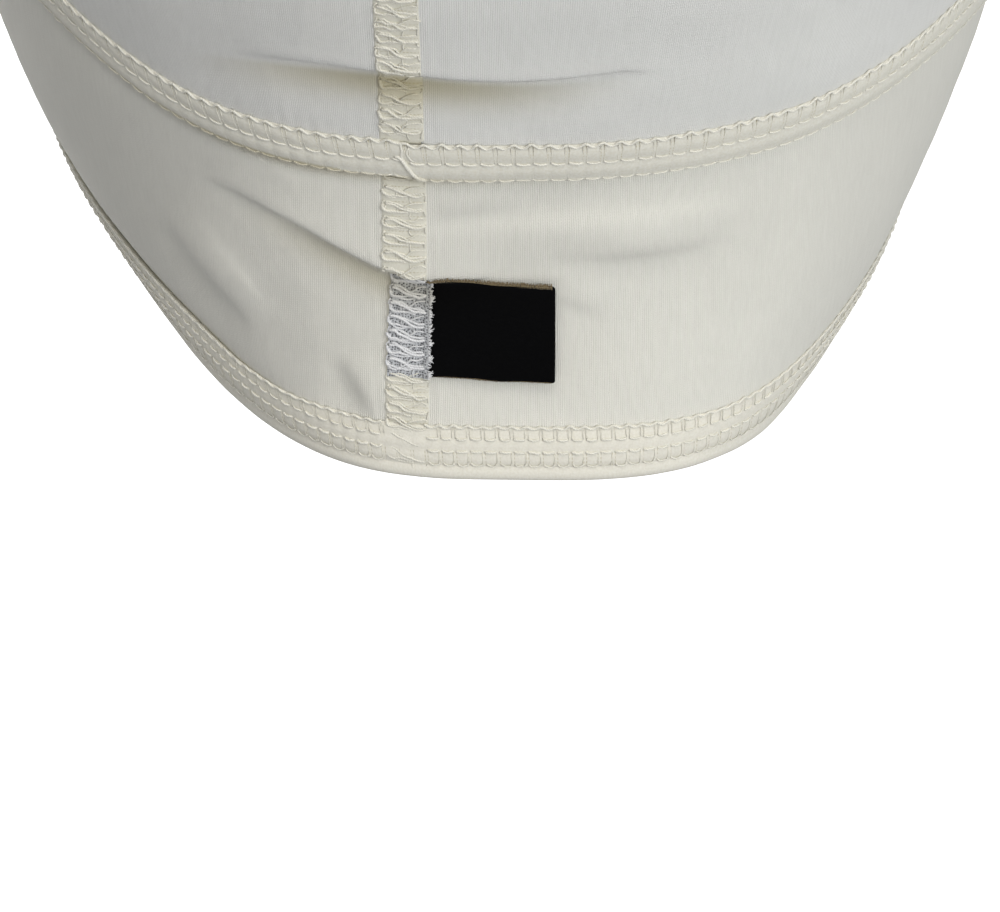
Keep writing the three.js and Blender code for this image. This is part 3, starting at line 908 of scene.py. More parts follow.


# The crown and the band are one jersey in two copies. The crown's copy is darker and cooler as painted
# shade, and the band's copy is warmer and lighter as painted warm light from below.
SHADED_CROWN_JERSEY = jersey_material("crown_jersey_painted_shade", (0.655, 0.648, 0.605), (0.835, 0.832, 0.795))
LIT_BAND_JERSEY = jersey_material("band_jersey_painted_light", (0.675, 0.655, 0.58), (0.865, 0.85, 0.77))
SHADED_CREAM = (0.58, 0.53, 0.38)
HEM_CREAM = (0.86, 0.835, 0.745)
JOIN_CREAM = (0.79, 0.775, 0.70)
JOIN_CLOTH = stitched_material("join_cloth", (0.0, JOIN_ROWS[0]), 0.1, (0.5, 0.44, 0.27), JOIN_CREAM)
SEAM_CLOTH = stitched_material("seam_cloth", (-2.9, 2.9), 0.3, SHADED_CREAM, (0.81, 0.79, 0.69))
HEM_CLOTH = stitched_material("hem_cloth", (HEM_ROWS[3], HEM_ROWS[2]), 0.1, SHADED_CREAM, HEM_CREAM)
THREAD = thread_material("seam_thread", (0.70, 0.675, 0.575), (0.88, 0.86, 0.77))
SEAM_THREAD = thread_material("flatlock_thread", (0.69, 0.66, 0.555), (0.85, 0.83, 0.735))
PALE_THREAD = thread_material("label_thread", (0.66, 0.66, 0.655), (0.86, 0.86, 0.865))
FRAY_THREAD = thread_material("label_fray", (0.03, 0.018, 0.008), (0.34, 0.26, 0.13))
NET = tape_material()
RIBBON = ribbon_material()


def settle(piece, node):
    """piece rides with the cap and stands for a CAD node."""
    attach(piece, "root")
    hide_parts(node)


# ---- Jersey -------------------------------------------------------------------------------


def fold_bearing_spacing(degrees):
    """Column spacing in degrees: fine where the folds are, coarse elsewhere."""
    past = min(degrees, 360 - degrees) - COLUMNS["left" if degrees < 180 else "right"]
    return min(COLUMNS["spacing"] + COLUMNS["growth"] * max(0, past), COLUMNS["widest"])


def wear(u, v):
    """The worn cloth's slight unevenness."""
    return 0.12 * soft_noise(u, v, 13, 1) + 0.05 * soft_noise(u, v, 4.5, 2) + 0.02 * soft_noise(u, v, 1.5, 3)


def fold_thinning(points):
    """The wall is thinner in the tucked folds, so it doesn't run through itself."""
    slide = np.linalg.norm(fold_shift(points)[1], axis=-1)
    return WALL - THINNING * np.clip(slide / THINNEST_SLIDE, 0, 1)


def crown_panel(side):
    """One half of the crown, from the back seam over the side to the front seam."""
    name = "crown_left" if side > 0 else "crown_right"
    base = HALF_JOIN - LAP

    def spacing(up):
        if CROWN_ROWS["low"] < up < CROWN_ROWS["high"]:
            return CROWN_ROWS["spacing"]
        return min(0.6 + 0.05 * max(0, up - 15), 1.9)

    back_height = edge_height("join", 0.0)
    rows = graded(float(CLIMB_TOP - climb(back_height) - base), spacing)
    shares = rows / rows[-1]

    def place_at(around, share):
        low = climb(height_along(around, edge_height("join", around), base))
        return level_place(around, height_at_climb(low + (CLIMB_TOP - low) * share))

    offset = side * (HALF_SEAM - LAP)
    side_bearing = side * math.pi / 2
    reach = side * seam_offset(place_at(np.full(shares.shape, side_bearing), shares))
    last_share = np.interp(-(abs(offset) + 0.05), -reach, shares)
    shares = np.append(shares[shares < last_share - 0.002], last_share)
    half = np.full(shares.shape, math.pi / 2)
    back = seam_bearing(lambda a: place_at(a, shares), offset, -half, half)
    turned = seam_bearing(lambda a: place_at(math.pi - a, shares), offset, -half, half)
    front = math.pi - turned
    if side < 0:
        front = front - 2 * math.pi
    degrees = graded(180, lambda d: fold_bearing_spacing(d if side > 0 else 360 - d))
    across = degrees / degrees[-1]
    around = back[:, None] + (front - back)[:, None] * across[None, :]
    form = place_at(around, shares[:, None])
    height = height_of(form)
    u = crown_weave(around, height, side)
    v = climb(height)
    edge = v - climb(edge_height("join", around)) - HALF_JOIN
    edge = np.minimum(np.abs(seam_offset(form)) - HALF_SEAM, edge)
    lift = wear(u + 200 * side, v) * np.clip(edge / 3, 0, 1)
    lift += seam_pucker(around, v, edge)
    outer = cloth(form, lift)
    inner = cloth(form, lift - fold_thinning(form))
    piece = wall_piece(name + "_cloth", outer, inner, np.stack([u, v], -1), SHADED_CROWN_JERSEY, flip=side > 0)
    settle(piece, name)


def seam_pucker(around, v, edge):
    """Small ripples where the stitches of the join seam draw the cloth in."""
    stitches = around * PUCKER_RADIUS / JOIN_PITCH
    return 0.05 * np.sin(2 * math.pi * stitches) * np.exp(-((edge - 1.2) ** 2) / 0.8) * (edge > 0)


def band():
    """The band between the hem and the join seam, open at the back seam."""
    low_edge, high_edge = HEM_WIDTH - 0.8, -HALF_JOIN + LAP

    def spacing(up):
        return BAND_ROWS["spacing"] if BAND_ROWS["low"] < up < BAND_ROWS["high"] else 0.75

    rows = graded(float(edge_height("join", 0.0) - HEM_WIDTH), spacing)
    shares = rows / rows[-1]

    def place_at(around, share):
        low = height_along(around, edge_height("hem", around), low_edge)
        high = height_along(around, edge_height("join", around), high_edge)
        return level_place(around, low + (high - low) * share)

    half = np.full(shares.shape, math.pi / 3)
    left = seam_bearing(lambda a: place_at(a, shares), HALF_SEAM - LAP, -half, half)
    right = seam_bearing(lambda a: place_at(a, shares), LAP - HALF_SEAM, -half, half) + 2 * math.pi
    degrees = graded(360, fold_bearing_spacing)
    across = degrees / degrees[-1]
    around = left[:, None] + (right - left)[:, None] * across[None, :]
    form = place_at(around, shares[:, None])
    height = height_of(form)
    u = band_weave(np.where(around > math.pi, around - 2 * math.pi, around), height)
    v = climb(height)
    edge = np.abs(seam_offset(form)) - HALF_SEAM
    edge = np.where(np.cos(around) < 0, 20, edge)
    edge = np.minimum(edge, climb(edge_height("join", around)) - HALF_JOIN - v)
    edge = np.minimum(edge, v - climb(edge_height("hem", around)) - HEM_WIDTH)
    sway = u + np.where(around > math.pi, 150, 0)
    lift = wear(sway, v + 300) * np.clip(edge / 3, 0, 1) + seam_pucker(around, v, edge)
    outer = cloth(form, lift)
    inner = cloth(form, lift - fold_thinning(form))
    piece = wall_piece("band_cloth", outer, inner, np.stack([u, v], -1), LIT_BAND_JERSEY, flip=True)
    settle(piece, "band")


# ---- Seams --------------------------------------------------------------------------------


def pillow(share):
    """A soft bulge between two stitches: share goes from 0 to 1 from one to the next."""
    return np.sin(math.pi * share) ** 0.8


def join_place(length, up, lift):
    """Places on the join seam. Where its two ends meet, at the back seam, they are out of line."""
    past = np.mod(length - JOIN_ENDS + JOIN.length / 2, JOIN.length) - JOIN.length / 2
    jog = JOIN_JOG * np.tanh(past / 0.8) * np.exp(-np.abs(past) / 7)
    return JOIN.place(length, up + jog, lift)


def join_strip():
    """The lapped cloth of the join seam, puffed between its stitches."""
    count = int(round(JOIN.length / JOIN_PITCH))
    steps = 8
    along = np.arange(count * steps) / steps
    top, middle, low = JOIN_ROWS
    section = np.array([
        (-2.98, -0.02), (-3.14, 0.12), (-3.12, 0.32), (-2.95, 0.44), (-2.75, 0.4), (-2.2, 0.52),
        (-1.5, 0.6), (-0.8, 0.56), (-0.1, 0.38), (0.5, 0.46), (1.3, 0.5), (2.1, 0.4),
        (2.55, 0.26), (2.78, 0.14), (2.95, 0.01), (2.4, -0.1), (2.35, -1.2), (-2.35, -1.2), (-2.45, -0.1),
    ])
    outer = 15
    up, lift = spread_out(section, len(along))
    share = np.mod(along, 1)[:, None]
    face = np.arange(len(section)) < outer
    in_cell = np.where(up > middle, (up - middle) / (top - middle), (middle - up) / (middle - low))
    puff = np.sin(math.pi * np.clip(in_cell, 0, 1)) * pillow(share)
    lift += np.where(face, 0.09 * puff, 0)
    up -= np.where(face & (up < -2.9), 0.05 * pillow(share), 0)
    length = (along / count * JOIN.length)[:, None] + 0 * up
    points = join_place(length, up, lift)
    piece = ring_piece("join_seam_cloth", points, np.stack([along[:, None] + 0 * up, up], -1), JOIN_CLOTH)
    settle(piece, "join_seam")


def seam_strip(name, node, start, end):
    """The abutted cloth under the back or crown seam. Its ends dip under the join seam."""
    section = np.array([
        (-3.12, -0.03), (-3.0, 0.05), (-2.6, 0.1), (-1.9, 0.13), (-1.0, 0.14), (-0.3, 0.12), (0.3, 0.12),
        (1.0, 0.14), (1.9, 0.13), (2.6, 0.1), (3.0, 0.05), (3.12, -0.03),
        (2.6, -0.1), (2.5, -1.2), (-2.5, -1.2), (-2.6, -0.1),
    ])
    along = np.linspace(start, end, int((end - start) / 0.34))
    offset, lift = spread_out(section, len(along))
    dip = np.clip(1 - np.minimum(along - start, end - along) / 1.1, 0, 1)[:, None]
    lift -= np.where(lift > -1, 0.35 * dip**2, 0)
    length = along[:, None] + 0 * offset
    face = lift > 0.09
    lift += np.where(face, 0.04 * np.sin(2 * math.pi * length / SEAM_PITCH + 1.3 * offset), 0)
    points = SEAM.place(length, offset, lift)
    piece = strip_piece(name, points, np.stack([length / SEAM_PITCH, offset], -1), SEAM_CLOTH)
    settle(piece, node)


def hem_drop(length):
    """How far the hem's rolled edge hangs below its solid: most at both sides of the nape."""
    degrees = np.degrees(HEM.bearing(length))
    sides = sum(bell(degrees, HEM_DROP[side], HEM_DROP["spread"]) for side in ("left_at", "right_at"))
    nape = np.exp(-((degrees / HEM_DROP["nape_spread"]) ** 4))
    return HEM_DROP["nape"] * nape + HEM_DROP["sides"] * sides


def hem_place(length, up, lift):
    """Places on the worn hem: its rolled edge hangs down, and flares out on the wearer's left."""
    degrees = np.degrees(HEM.bearing(length))
    flare = HEM_FLARE["depth"] * bell(degrees, HEM_FLARE["middle"], HEM_FLARE["spread"])
    flare = flare * np.clip(1 - up / HEM_WIDTH, 0, 1.1)
    drop = hem_drop(length) * np.clip(1 - up / HEM_ROWS[2], 0, 1)
    return HEM.place(length, up - drop, lift + flare)


def hem_ring():
    """The turned-up hem, with a plain rolled edge below its stitches."""
    count = int(round(HEM.length / HEM_PITCH))
    steps = 6
    along = np.arange(count * steps) / steps
    section = np.array([
        (0.0, -0.75), (0.03, -0.35), (0.2, 0.02), (0.55, 0.22), (1.0, 0.3), (1.5, 0.24), (1.85, 0.12),
        (2.05, 0.08), (2.3, 0.26), (2.9, 0.4), (3.5, 0.38), (3.9, 0.3), (4.3, 0.38), (4.9, 0.42),
        (5.4, 0.36), (5.8, 0.27), (6.2, 0.27), (6.8, 0.2), (7.25, 0.1), (7.45, 0.05), (7.62, -0.03),
        (7.3, -0.1), (7.2, -1.35), (4.0, -1.5), (1.2, -1.5), (0.3, -1.2),
    ])
    outer = 21
    up, lift = spread_out(section, len(along))
    share = np.mod(along, 1)[:, None]
    face = (np.arange(len(section)) < outer) & (up > 2.2) & (up < 7.4)
    lift += np.where(face, 0.05 * (pillow(share) - 0.5), 0)
    edge = (np.arange(len(section)) < outer) & (up > 1.6) & (up < 2.4)
    up -= np.where(edge, 0.06 * pillow(share), 0)
    length = (along / count * HEM.length)[:, None] + 0 * up
    lift += np.where(up < 2, 0.06 * soft_noise(length, up, 5, 7), 0)
    points = hem_place(length, up, lift)
    piece = ring_piece("hem_cloth", points, np.stack([along[:, None] + 0 * up, up], -1), HEM_CLOTH)
    settle(piece, "hem")


# ---- Threads ------------------------------------------------------------------------------


def stitch_threads(place, starts, shapes, seed, flow=1.0):
    """Threads of many like stitches. Each shape is (radius, sides, wobble, points), a point being
    the length along the seam, the place across it and the lift over the cloth."""
    random = np.random.default_rng(seed)
    parts = []
    for radius, sides, wobble, points in shapes:
        few = np.array(points, float)
        paths = np.broadcast_to(few, (len(starts),) + few.shape).copy()
        paths[..., :2] += random.normal(0, wobble, paths[..., :2].shape)
        paths[..., 2] += random.normal(0, wobble * 0.3, paths[..., 2].shape)
        fine = smooth_path(paths, 2 * len(points) - 1)
        length = starts[:, None] + flow * fine[..., 0]
        thick = radius * np.clip(random.normal(1, 0.12, (len(starts), 1)), 0.7, 1.3)
        parts.append(tubes(place(length, fine[..., 1], fine[..., 2]), thick, sides))
    return joined(parts)


def wavy_thread(line, place, pitch, row, height, lift, radius, seed, skip=None):
    """A continuous thread that waves once a stitch, cut into closed lengths of one stitch."""
    random = np.random.default_rng(seed)
    count = int(round(line.length / pitch))
    starts = np.arange(count)
    if skip is not None:
        starts = starts[~skip(starts / count * line.length)]
    crest = height * (1 + random.normal(0, 0.15, count))
    drift = random.normal(0, 0.05, count)
    t = np.linspace(-0.02, 1.02, 11)
    share = 0.5 + 0.5 * np.cos(2 * math.pi * t)
    blend = np.clip(t, 0, 1)[None, :]
    after = (starts + 1) % count
    crests = crest[starts][:, None] * (1 - blend) + crest[after][:, None] * blend
    drifts = drift[starts][:, None] * (1 - blend) + drift[after][:, None] * blend
    up = row + crests * (share**1.2 - 0.5) + drifts
    length = (starts[:, None] + t[None, :]) / count * line.length
    return tubes(place(length, up, lift + 0.08 * share + 0 * up), radius, 6)


JOIN_STITCH = (
    # bars from the wavy row down past the middle row
    (0.075, 4, 0.03, ((-0.27, 2.75, 0.36), (-0.3, 2.1, 0.44), (-0.28, 0.9, 0.5), (-0.26, -0.1, 0.36))),
    (0.075, 4, 0.03, ((0.27, 2.75, 0.36), (0.31, 2.1, 0.44), (0.28, 0.9, 0.5), (0.26, -0.1, 0.36))),
    (0.05, 4, 0.02, ((-0.24, -0.1, 0.36), (-0.26, -1.0, 0.56), (-0.24, -2.0, 0.54), (-0.22, -2.75, 0.4))),
    (0.05, 4, 0.02, ((0.24, -0.1, 0.36), (0.26, -1.0, 0.56), (0.24, -2.0, 0.54), (0.22, -2.75, 0.4))),
    # the middle row's dash, which sags a little
    (0.16, 6, 0.03, (
        (0.24, -0.08, 0.34), (0.6, -0.13, 0.5), (1.2, -0.12, 0.56), (1.8, -0.03, 0.52), (2.2, 0.1, 0.34),
    )),
    # the low row's dash along the seam's edge
    (0.12, 6, 0.04, (
        (0.15, -2.86, 0.34), (0.6, -2.96, 0.46), (1.2, -2.99, 0.48), (1.8, -2.95, 0.46), (2.25, -2.84, 0.34),
    )),
)

# The thread that crosses the seam where the stitching ends: past that place, up and lift.
JOIN_END_PATHS = (
    (0.3, (
        (1.3, 0.35, 0.3), (0.5, 0.3, 0.5), (-0.1, -0.5, 0.62),
        (-0.7, -1.5, 0.62), (-1.5, -2.5, 0.55), (-2.6, -2.95, 0.3),
    )),
    (0.2, ((0.2, 2.7, 0.3), (0.1, 1.8, 0.5), (0.3, 0.9, 0.5), (0.2, 0.0, 0.45))),
    (0.16, ((-0.9, 2.6, 0.3), (-0.5, 1.6, 0.45), (-0.9, 0.6, 0.45), (-1.6, 0.2, 0.3))),
)


def join_end_threads():
    parts = []
    for radius, points in JOIN_END_PATHS:
        path = smooth_path(np.array(points)[None], 13)
        place = join_place(JOIN_ENDS + path[..., 0], path[..., 1], path[..., 2])
        parts.append(tubes(place, radius, 7))
    return joined(parts)


def join_threads():
    count = int(round(JOIN.length / JOIN_PITCH))
    starts = np.arange(count) / count * JOIN.length
    parts = [
        wavy_thread(JOIN, join_place, JOIN_PITCH, JOIN_ROWS[0] + 0.05, 0.68, 0.26, 0.2, 11),
        stitch_threads(join_place, starts, JOIN_STITCH, 12),
        join_end_threads(),
    ]
    settle(make_piece("join_seam_thread", *joined(parts), THREAD), "join_seam")


HEM_STITCH = (
    # bars from the wavy row down to the first needle row
    (0.045, 4, 0.03, ((-0.22, 7.3, 0.3), (-0.24, 6.8, 0.36), (-0.22, 5.8, 0.34))),
    (0.045, 4, 0.03, ((0.22, 7.3, 0.3), (0.24, 6.8, 0.36), (0.22, 5.8, 0.34))),
    # the dashes of the two needle rows
    (0.17, 6, 0.04, (
        (0.3, 5.8, 0.28), (0.6, 5.76, 0.42), (1.0, 5.72, 0.48), (1.45, 5.76, 0.42), (1.75, 5.82, 0.28),
    )),
    (0.18, 6, 0.04, (
        (0.3, 3.9, 0.28), (0.62, 3.85, 0.44), (1.05, 3.82, 0.5), (1.5, 3.86, 0.44), (1.8, 3.92, 0.28),
    )),
    # the thread that runs down to the low row, and the low row's own
    (0.055, 4, 0.04, ((0.3, 3.8, 0.34), (0.22, 3.2, 0.44), (0.24, 2.6, 0.42), (0.4, 2.2, 0.36))),
    (0.1, 6, 0.05, (
        (0.2, 2.3, 0.28), (0.5, 2.1, 0.34), (1.0, 2.02, 0.36), (1.5, 2.1, 0.34), (1.8, 2.3, 0.28),
    )),
)


def at_back_seam(length):
    """Whether a place on the hem lies under the back seam's stitches."""
    place = HEM.form(length, 4.0 + 0 * length)
    return (np.abs(seam_offset(place)) < HALF_SEAM - 0.3) & (place[..., 1] > 0)


def hem_threads():
    count = int(round(HEM.length / HEM_PITCH))
    starts = np.arange(count) / count * HEM.length
    clear = starts[~at_back_seam(starts + HEM_PITCH / 2)]
    parts = [
        wavy_thread(HEM, hem_place, HEM_PITCH, HEM_ROWS[0] + 0.05, 0.42, 0.13, 0.2, 21, skip=at_back_seam),
        stitch_threads(hem_place, clear, HEM_STITCH, 22),
    ]
    settle(make_piece("hem_thread", *joined(parts), THREAD), "hem")


# One flatlock stitch, seen from outside with the head up: down the seam, across it from the
# wearer's left edge, and the lift. Needles go in at 0.1, 1.95, 3.9 and 5.9 across.
FLATLOCK_STITCH = (
    # the level thread, of two strands, from the left edge's loop to the third needle
    (0.2, 6, 0.09, (
        (-1.05, 0.12, 0.08), (-0.45, 0.14, 0.14), (-0.08, 0.6, 0.17), (-0.02, 1.25, 0.17),
        (0.0, 1.95, 0.12), (0.04, 2.9, 0.17), (0.0, 3.9, 0.05),
    )),
    (0.17, 5, 0.09, (
        (-0.75, 0.34, 0.04), (-0.25, 0.38, 0.1), (0.13, 0.8, 0.13), (0.2, 1.4, 0.12),
        (0.24, 2.2, 0.1), (0.3, 3.0, 0.12), (0.34, 3.8, 0.02),
    )),
    # the slanting thread, of two strands, drawn down to the level one
    (0.21, 6, 0.1, (
        (-1.3, 0.3, 0.08), (-1.28, 1.0, 0.15), (-1.05, 1.7, 0.19), (-0.6, 2.6, 0.24),
        (-0.15, 3.6, 0.24), (0.03, 4.5, 0.2), (-0.02, 5.3, 0.16), (-0.28, 5.85, 0.05),
    )),
    (0.17, 5, 0.09, (
        (-1.5, 0.6, 0.04), (-1.46, 1.2, 0.1), (-1.25, 1.9, 0.14), (-0.85, 2.8, 0.18),
        (-0.42, 3.7, 0.18), (-0.26, 4.6, 0.14), (-0.36, 5.5, 0.08),
    )),
    # the thin thread that crosses them
    (0.13, 5, 0.12, (
        (-0.1, 2.1, 0.08), (-0.45, 2.7, 0.2), (-0.95, 3.5, 0.24), (-1.3, 4.3, 0.2),
        (-1.45, 5.1, 0.14), (-1.3, 5.85, 0.05),
    )),
    # the short threads that run down the seam at its needles and edges
    (0.11, 5, 0.08, ((-1.75, 0.4, 0.1), (-1.45, 0.12, 0.14), (-1.0, 0.14, 0.12))),
    (0.11, 5, 0.08, ((-1.3, 1.9, 0.12), (-0.6, 2.05, 0.16), (-0.05, 1.95, 0.12))),
    (0.11, 5, 0.08, ((0.0, 3.9, 0.12), (0.6, 3.8, 0.16), (1.3, 3.95, 0.12))),
    (0.11, 5, 0.08, ((-0.4, 5.85, 0.09), (0.1, 5.94, 0.12), (0.7, 5.85, 0.09))),
)


def flatlock_threads(start, end, wobble, seed, rise=0.0):
    """wobble scales the stitches' unevenness, and rise lifts them over the label's tape."""
    count = int(round((end - start) / SEAM_PITCH))
    starts = start + (end - start) / count * (np.arange(count) + 0.66)
    shapes = [(radius, sides, wobble * uneven, points) for radius, sides, uneven, points in FLATLOCK_STITCH]

    def place(length, across, lift):
        return SEAM.place(length, HALF_SEAM - 0.1 - across, lift + rise)

    return stitch_threads(place, starts, shapes, seed, flow=-1.0)


def seam_length_at(height):
    """The length along the seam at which it reaches a height on the back of the head."""
    middle = SEAM.at_angle(0 * SEAM.angles, SEAM.angles)
    rising = np.argmax(middle[:, 2])
    return float(np.interp(height - AXIS_ABOVE, middle[:rising, 2], SEAM.lengths[:rising]))


def back_seam_threads():
    """The back seam's stitches run from the join seam down through the hem. Beside the label
    they are paler."""
    top = SEAM.back_join - HALF_JOIN - 0.2
    label_top, label_foot = seam_length_at(LABEL_TOP), seam_length_at(LABEL_FOOT)
    parts = [
        flatlock_threads(label_top - 0.4, top, 1.0, 31),
        flatlock_threads(0.6, label_foot, 1.0, 32),
    ]
    settle(make_piece("back_seam_thread", *joined(parts), SEAM_THREAD), "back_seam")
    pale = flatlock_threads(label_foot, label_top, 1.2, 33, rise=0.26)
    settle(make_piece("label_stitches", *pale, PALE_THREAD), "back_seam")


def crown_seam_threads():
    start, end = SEAM.back_join + HALF_JOIN + 0.1, SEAM.front_join - HALF_JOIN - 0.1
    threads = flatlock_threads(start, end, 1.6, 34)
    settle(make_piece("crown_seam_thread", *threads, SEAM_THREAD), "crown_seam")


# ---- Label --------------------------------------------------------------------------------


def label_form(reach, height):
    """A place on the form that lies a reach to the label's side of the seam, at a height."""
    offset = -HALF_SEAM - LABEL_START - reach
    low = np.full(offset.shape, math.radians(-80))
    high = np.full(offset.shape, math.radians(60))
    _, angle = halved(low, high, lambda m: height_of(SEAM.at_angle(offset, m)) < height, 26)
    return SEAM.at_angle(offset, angle)


def label_hang(share, across):
    """How far the ribbon stands off the cloth: more towards its free end and foot."""
    return 0.2 + 0.4 * share**1.5 + 0.35 * share**3 * (0.5 - across)


def ribbon_thickness(share):
    """The folded ribbon opens a little towards its free end."""
    return 0.4 + 0.28 * share


def label_edge(reach, across):
    """The height of the ribbon at a reach, and at a share across it from -0.5 to 0.5."""
    corner = 0.35 * np.clip((reach - RIBBON_REACH + 0.9) / 0.9, 0, 1) ** 3
    across = across * (1 - corner / LABEL_HEIGHT * 2 * np.abs(across))
    across = across * (1 - LABEL_NARROWING * np.clip(reach / RIBBON_REACH, 0, 1))
    sway = 0.12 * soft_noise(reach + 3, 0 * across, 4, 44) * np.abs(2 * across)
    return LABEL_LEVEL + across * LABEL_HEIGHT - reach * math.tan(LABEL_DROOP) + sway


def label_ribbon():
    """The folded ribbon. It comes out from under the stitches and hangs free at its other end."""
    full = RIBBON_REACH + RIBBON_TUCK
    reach = graded(full, lambda x: 0.14 if x > full - 1 else 0.4) - RIBBON_TUCK
    across = 0.5 * np.sin(np.linspace(-math.pi / 2, math.pi / 2, 60))
    r, a = np.meshgrid(reach, across, indexing="ij")
    height = label_edge(r, a)
    form = label_form(r, height)
    share = np.maximum(r, 0) / RIBBON_REACH
    edge = np.clip((RIBBON_REACH - r) / 0.45, 0, 1)
    rim = np.sqrt(np.clip(1 - (1 - edge) ** 2, 0, 1))
    hang = label_hang(share, a) + 0.06 * soft_noise(r, height, 5, 41)
    thick = ribbon_thickness(share)
    slid = np.clip(1 - r / LABEL_HOLD, 0, 1)
    outer = cloth(form, hang + thick * (0.5 + 0.5 * rim), slid=slid)
    inner = cloth(form, hang + thick * (0.5 - 0.5 * rim), slid=slid)
    piece = wall_piece("label_ribbon", outer, inner, np.stack([r, height], -1), RIBBON, flip=True)
    settle(piece, "label")


def label_tape():
    """The ribbon's pale woven end, caught under the back seam's stitches."""
    low, high = seam_length_at(LABEL_FOOT), seam_length_at(LABEL_TOP)
    along = np.linspace(low, high, 150)
    ragged = 0.22 * soft_noise(along, 0 * along, 0.9, 45) + 0.14 * soft_noise(along, 0 * along, 0.35, 46)
    across = np.linspace(0, 1, 40)
    width = 2 * HALF_SEAM + TAPE_END + ragged[None, :] - TAPE_START
    o = HALF_SEAM - TAPE_START - across[:, None] * width
    s = along[None, :] + 0 * o
    form = SEAM.form(s, o)
    over_ribbon = np.clip((-o - HALF_SEAM + RIBBON_TUCK + 0.5) / 0.6, 0, 1)
    lift = 0.28 + 0.44 * over_ribbon**2 + 0.03 * soft_noise(o, s, 0.8, 42)
    outer = cloth(form, lift)
    inner = cloth(form, lift - 0.1)
    piece = wall_piece("label_tape", outer, inner, np.stack([o, s], -1), NET, flip=True)
    settle(piece, "label")


def label_tufts():
    """Thread ends that stick out over the ribbon, a few beside each stitch."""
    random = np.random.default_rng(43)
    low, high = seam_length_at(LABEL_FOOT), seam_length_at(LABEL_TOP)
    middles = np.arange(low + 0.8, high, SEAM_PITCH)
    s = np.concatenate([
        np.repeat(middles, 7) + random.normal(0, 0.22, 7 * len(middles)),
        random.uniform(low, high, 60),
    ])
    count = len(s)
    reach = random.uniform(0.15, 0.65, count) * np.where(np.arange(count) < 7 * len(middles), 1.0, 0.5)
    bend = random.normal(0, 0.3, count)
    t = np.linspace(0, 1, 5)[None, :]
    offset = 0.15 - HALF_SEAM - (0.15 + TAPE_END + reach[:, None]) * t
    length = s[:, None] + bend[:, None] * t**2
    lift = 0.8 + 0.1 * np.sin(math.pi * t) + 0 * offset
    ends = tubes(SEAM.place(length, offset, lift), 0.1 * (1.2 - 0.7 * t), 4)
    settle(make_piece("label_thread_ends", *ends, PALE_THREAD), "label")


def label_selvedge():
    """Cut thread stubs along the ribbon's top and foot."""
    random = np.random.default_rng(47)
    stubs = 200
    reach = np.linspace(-0.2, RIBBON_REACH - 0.5, stubs) + random.normal(0, 0.03, stubs)
    parts = []
    for side, longest in ((-0.5, 0.22), (0.5, 0.5)):
        long = random.uniform(0.3, 1, stubs)[:, None] * longest
        t = np.linspace(-0.5, 1, 5)[None, :]
        r = reach[:, None] + random.normal(0, 0.08, stubs)[:, None] * t
        height = label_edge(r, side) + math.copysign(1, side) * long * t
        share = np.maximum(r, 0) / RIBBON_REACH
        lift = label_hang(share, side) + ribbon_thickness(share) * (0.95 - 0.6 * np.clip(t, 0, 1))
        slid = np.clip(1 - r / LABEL_HOLD, 0, 1)
        parts.append(tubes(cloth(label_form(r, height), lift, slid=slid), 0.06, 4))
    settle(make_piece("label_selvedge", *joined(parts), FRAY_THREAD), "label")


# ---- Stage --------------------------------------------------------------------------------

CAMERA_ELEVATION = math.radians(12)
CAMERA_DISTANCE = 0.9
CAMERA_ROLL = math.radians(-2.55)
CAMERA_LENS = 214.8
CAMERA_TARGET = np.array([2.8, 0.0, -156.6]) * MM
FLOOR_DROP = 115 * MM  # below the nape hem
FLOOR_REACH = 12


def camera():
    data = bpy.data.cameras.new("camera")
    data.sensor_width = 36
    data.lens = CAMERA_LENS
    data.clip_end = 50
    back = np.array([0, math.cos(CAMERA_ELEVATION), math.sin(CAMERA_ELEVATION)])
    level = np.array([-1.0, 0, 0])
    upright = np.cross(back, level)
    right = level * math.cos(CAMERA_ROLL) + upright * math.sin(CAMERA_ROLL)
    up = upright * math.cos(CAMERA_ROLL) - level * math.sin(CAMERA_ROLL)
    place = Matrix(np.column_stack([right, up, back]).tolist()).to_4x4()
    place.translation = CAMERA_TARGET + CAMERA_DISTANCE * back
    made = bpy.data.objects.new("camera", data)
    made.matrix_world = place
    bpy.context.scene.collection.objects.link(made)
    bpy.context.scene.camera = made


def floor():
    """A pale floor that gives a little light of its own, so it stays white behind the cap."""
    nodes = Nodes("floor")
    nodes.finish(Base_Color=(0.9, 0.9, 0.9, 1), Roughness=0.9)
    nodes.finish(Emission_Color=(1, 1, 1, 1), Emission_Strength=0.7)
    mesh = bpy.data.meshes.new("floor")
    level = CAD_BOX[0][2] - FLOOR_DROP
    corners = [(x * FLOOR_REACH, y * FLOOR_REACH, level) for x, y in ((-1, -1), (1, -1), (1, 1), (-1, 1))]
    mesh.from_pydata(corners, [], [(0, 1, 2, 3)])
    mesh.materials.append(nodes.material)
    made = bpy.data.objects.new("floor", mesh)
    made.visible_diffuse = False
    bpy.context.scene.collection.objects.link(made)


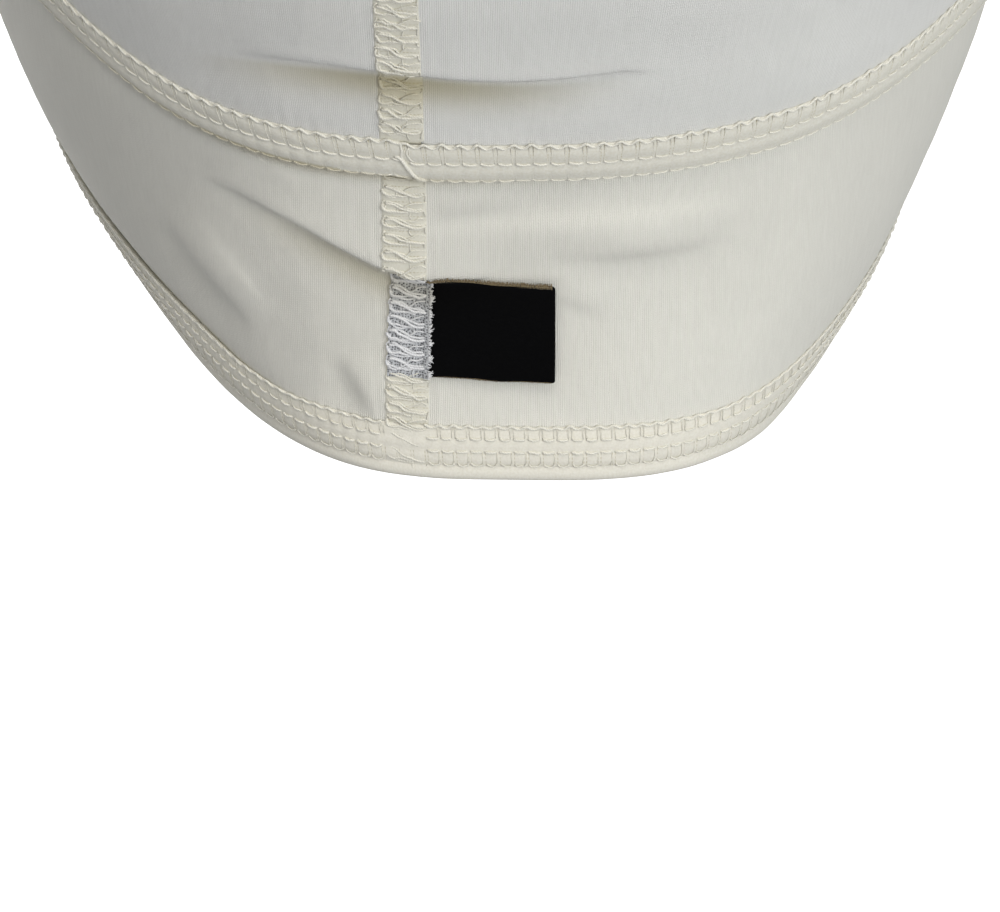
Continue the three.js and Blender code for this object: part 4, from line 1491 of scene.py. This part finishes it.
# Soft panels, placed from the cap's middle in metres, and the room's even light. The left panel
# lies below the floor's level, so the floor holds back much of its light.
PANELS = (
    dict(name="high", place=(0.0, 1.0, 1.3), size=1.2, power=13.0, colour=(1.0, 0.96, 0.9)),
    dict(name="low", place=(-1.0, 1.3, -0.12), size=1.1, power=23.2, colour=(0.96, 0.98, 1.0)),
    dict(name="left", place=(0.9, 1.1, -0.8), size=0.9, power=10.0, colour=(1.0, 0.97, 0.94)),
    dict(name="front", place=(0.5, -1.6, 0.2), size=1.2, power=17.0, colour=(1.0, 0.98, 0.95)),
)
ROOM_LIGHT = 0.34
ROOM_COLOUR = (0.95, 0.965, 1.0, 1)


def aimed(name, data, place, target):
    made = bpy.data.objects.new(name, data)
    away = Vector(place) - Vector(target)
    made.matrix_world = Matrix.Translation(place) @ away.to_track_quat("Z", "Y").to_matrix().to_4x4()
    bpy.context.scene.collection.objects.link(made)


def lights():
    middle = Vector(np.mean(CAD_BOX, axis=0))
    for entry in PANELS:
        data = bpy.data.lights.new(entry["name"], "AREA")
        data.size = entry["size"]
        data.energy = entry["power"]
        data.color = entry["colour"]
        aimed(entry["name"], data, middle + Vector(entry["place"]), middle)


def studio():
    world = bpy.data.worlds.new("studio")
    world.use_nodes = True
    background = world.node_tree.nodes["Background"]
    background.inputs["Color"].default_value = ROOM_COLOUR
    background.inputs["Strength"].default_value = ROOM_LIGHT
    bpy.context.scene.world = world
    bpy.context.scene.view_settings.view_transform = "Standard"


camera()
floor()
lights()
studio()
crown_panel(1)
crown_panel(-1)
band()
hem_ring()
join_strip()
# The back and crown seams' cloth runs in under the join seam and the hem.
UNDER_JOIN = HALF_JOIN - 0.5
UNDER_HEM = HEM_WIDTH - 0.9
seam_strip("crown_seam_cloth", "crown_seam", SEAM.back_join + UNDER_JOIN, SEAM.front_join - UNDER_JOIN)
seam_strip("back_seam_cloth", "back_seam", UNDER_HEM, SEAM.back_join - UNDER_JOIN)
join_threads()
hem_threads()
back_seam_threads()
crown_seam_threads()
label_ribbon()
label_tape()
label_tufts()
label_selvedge()
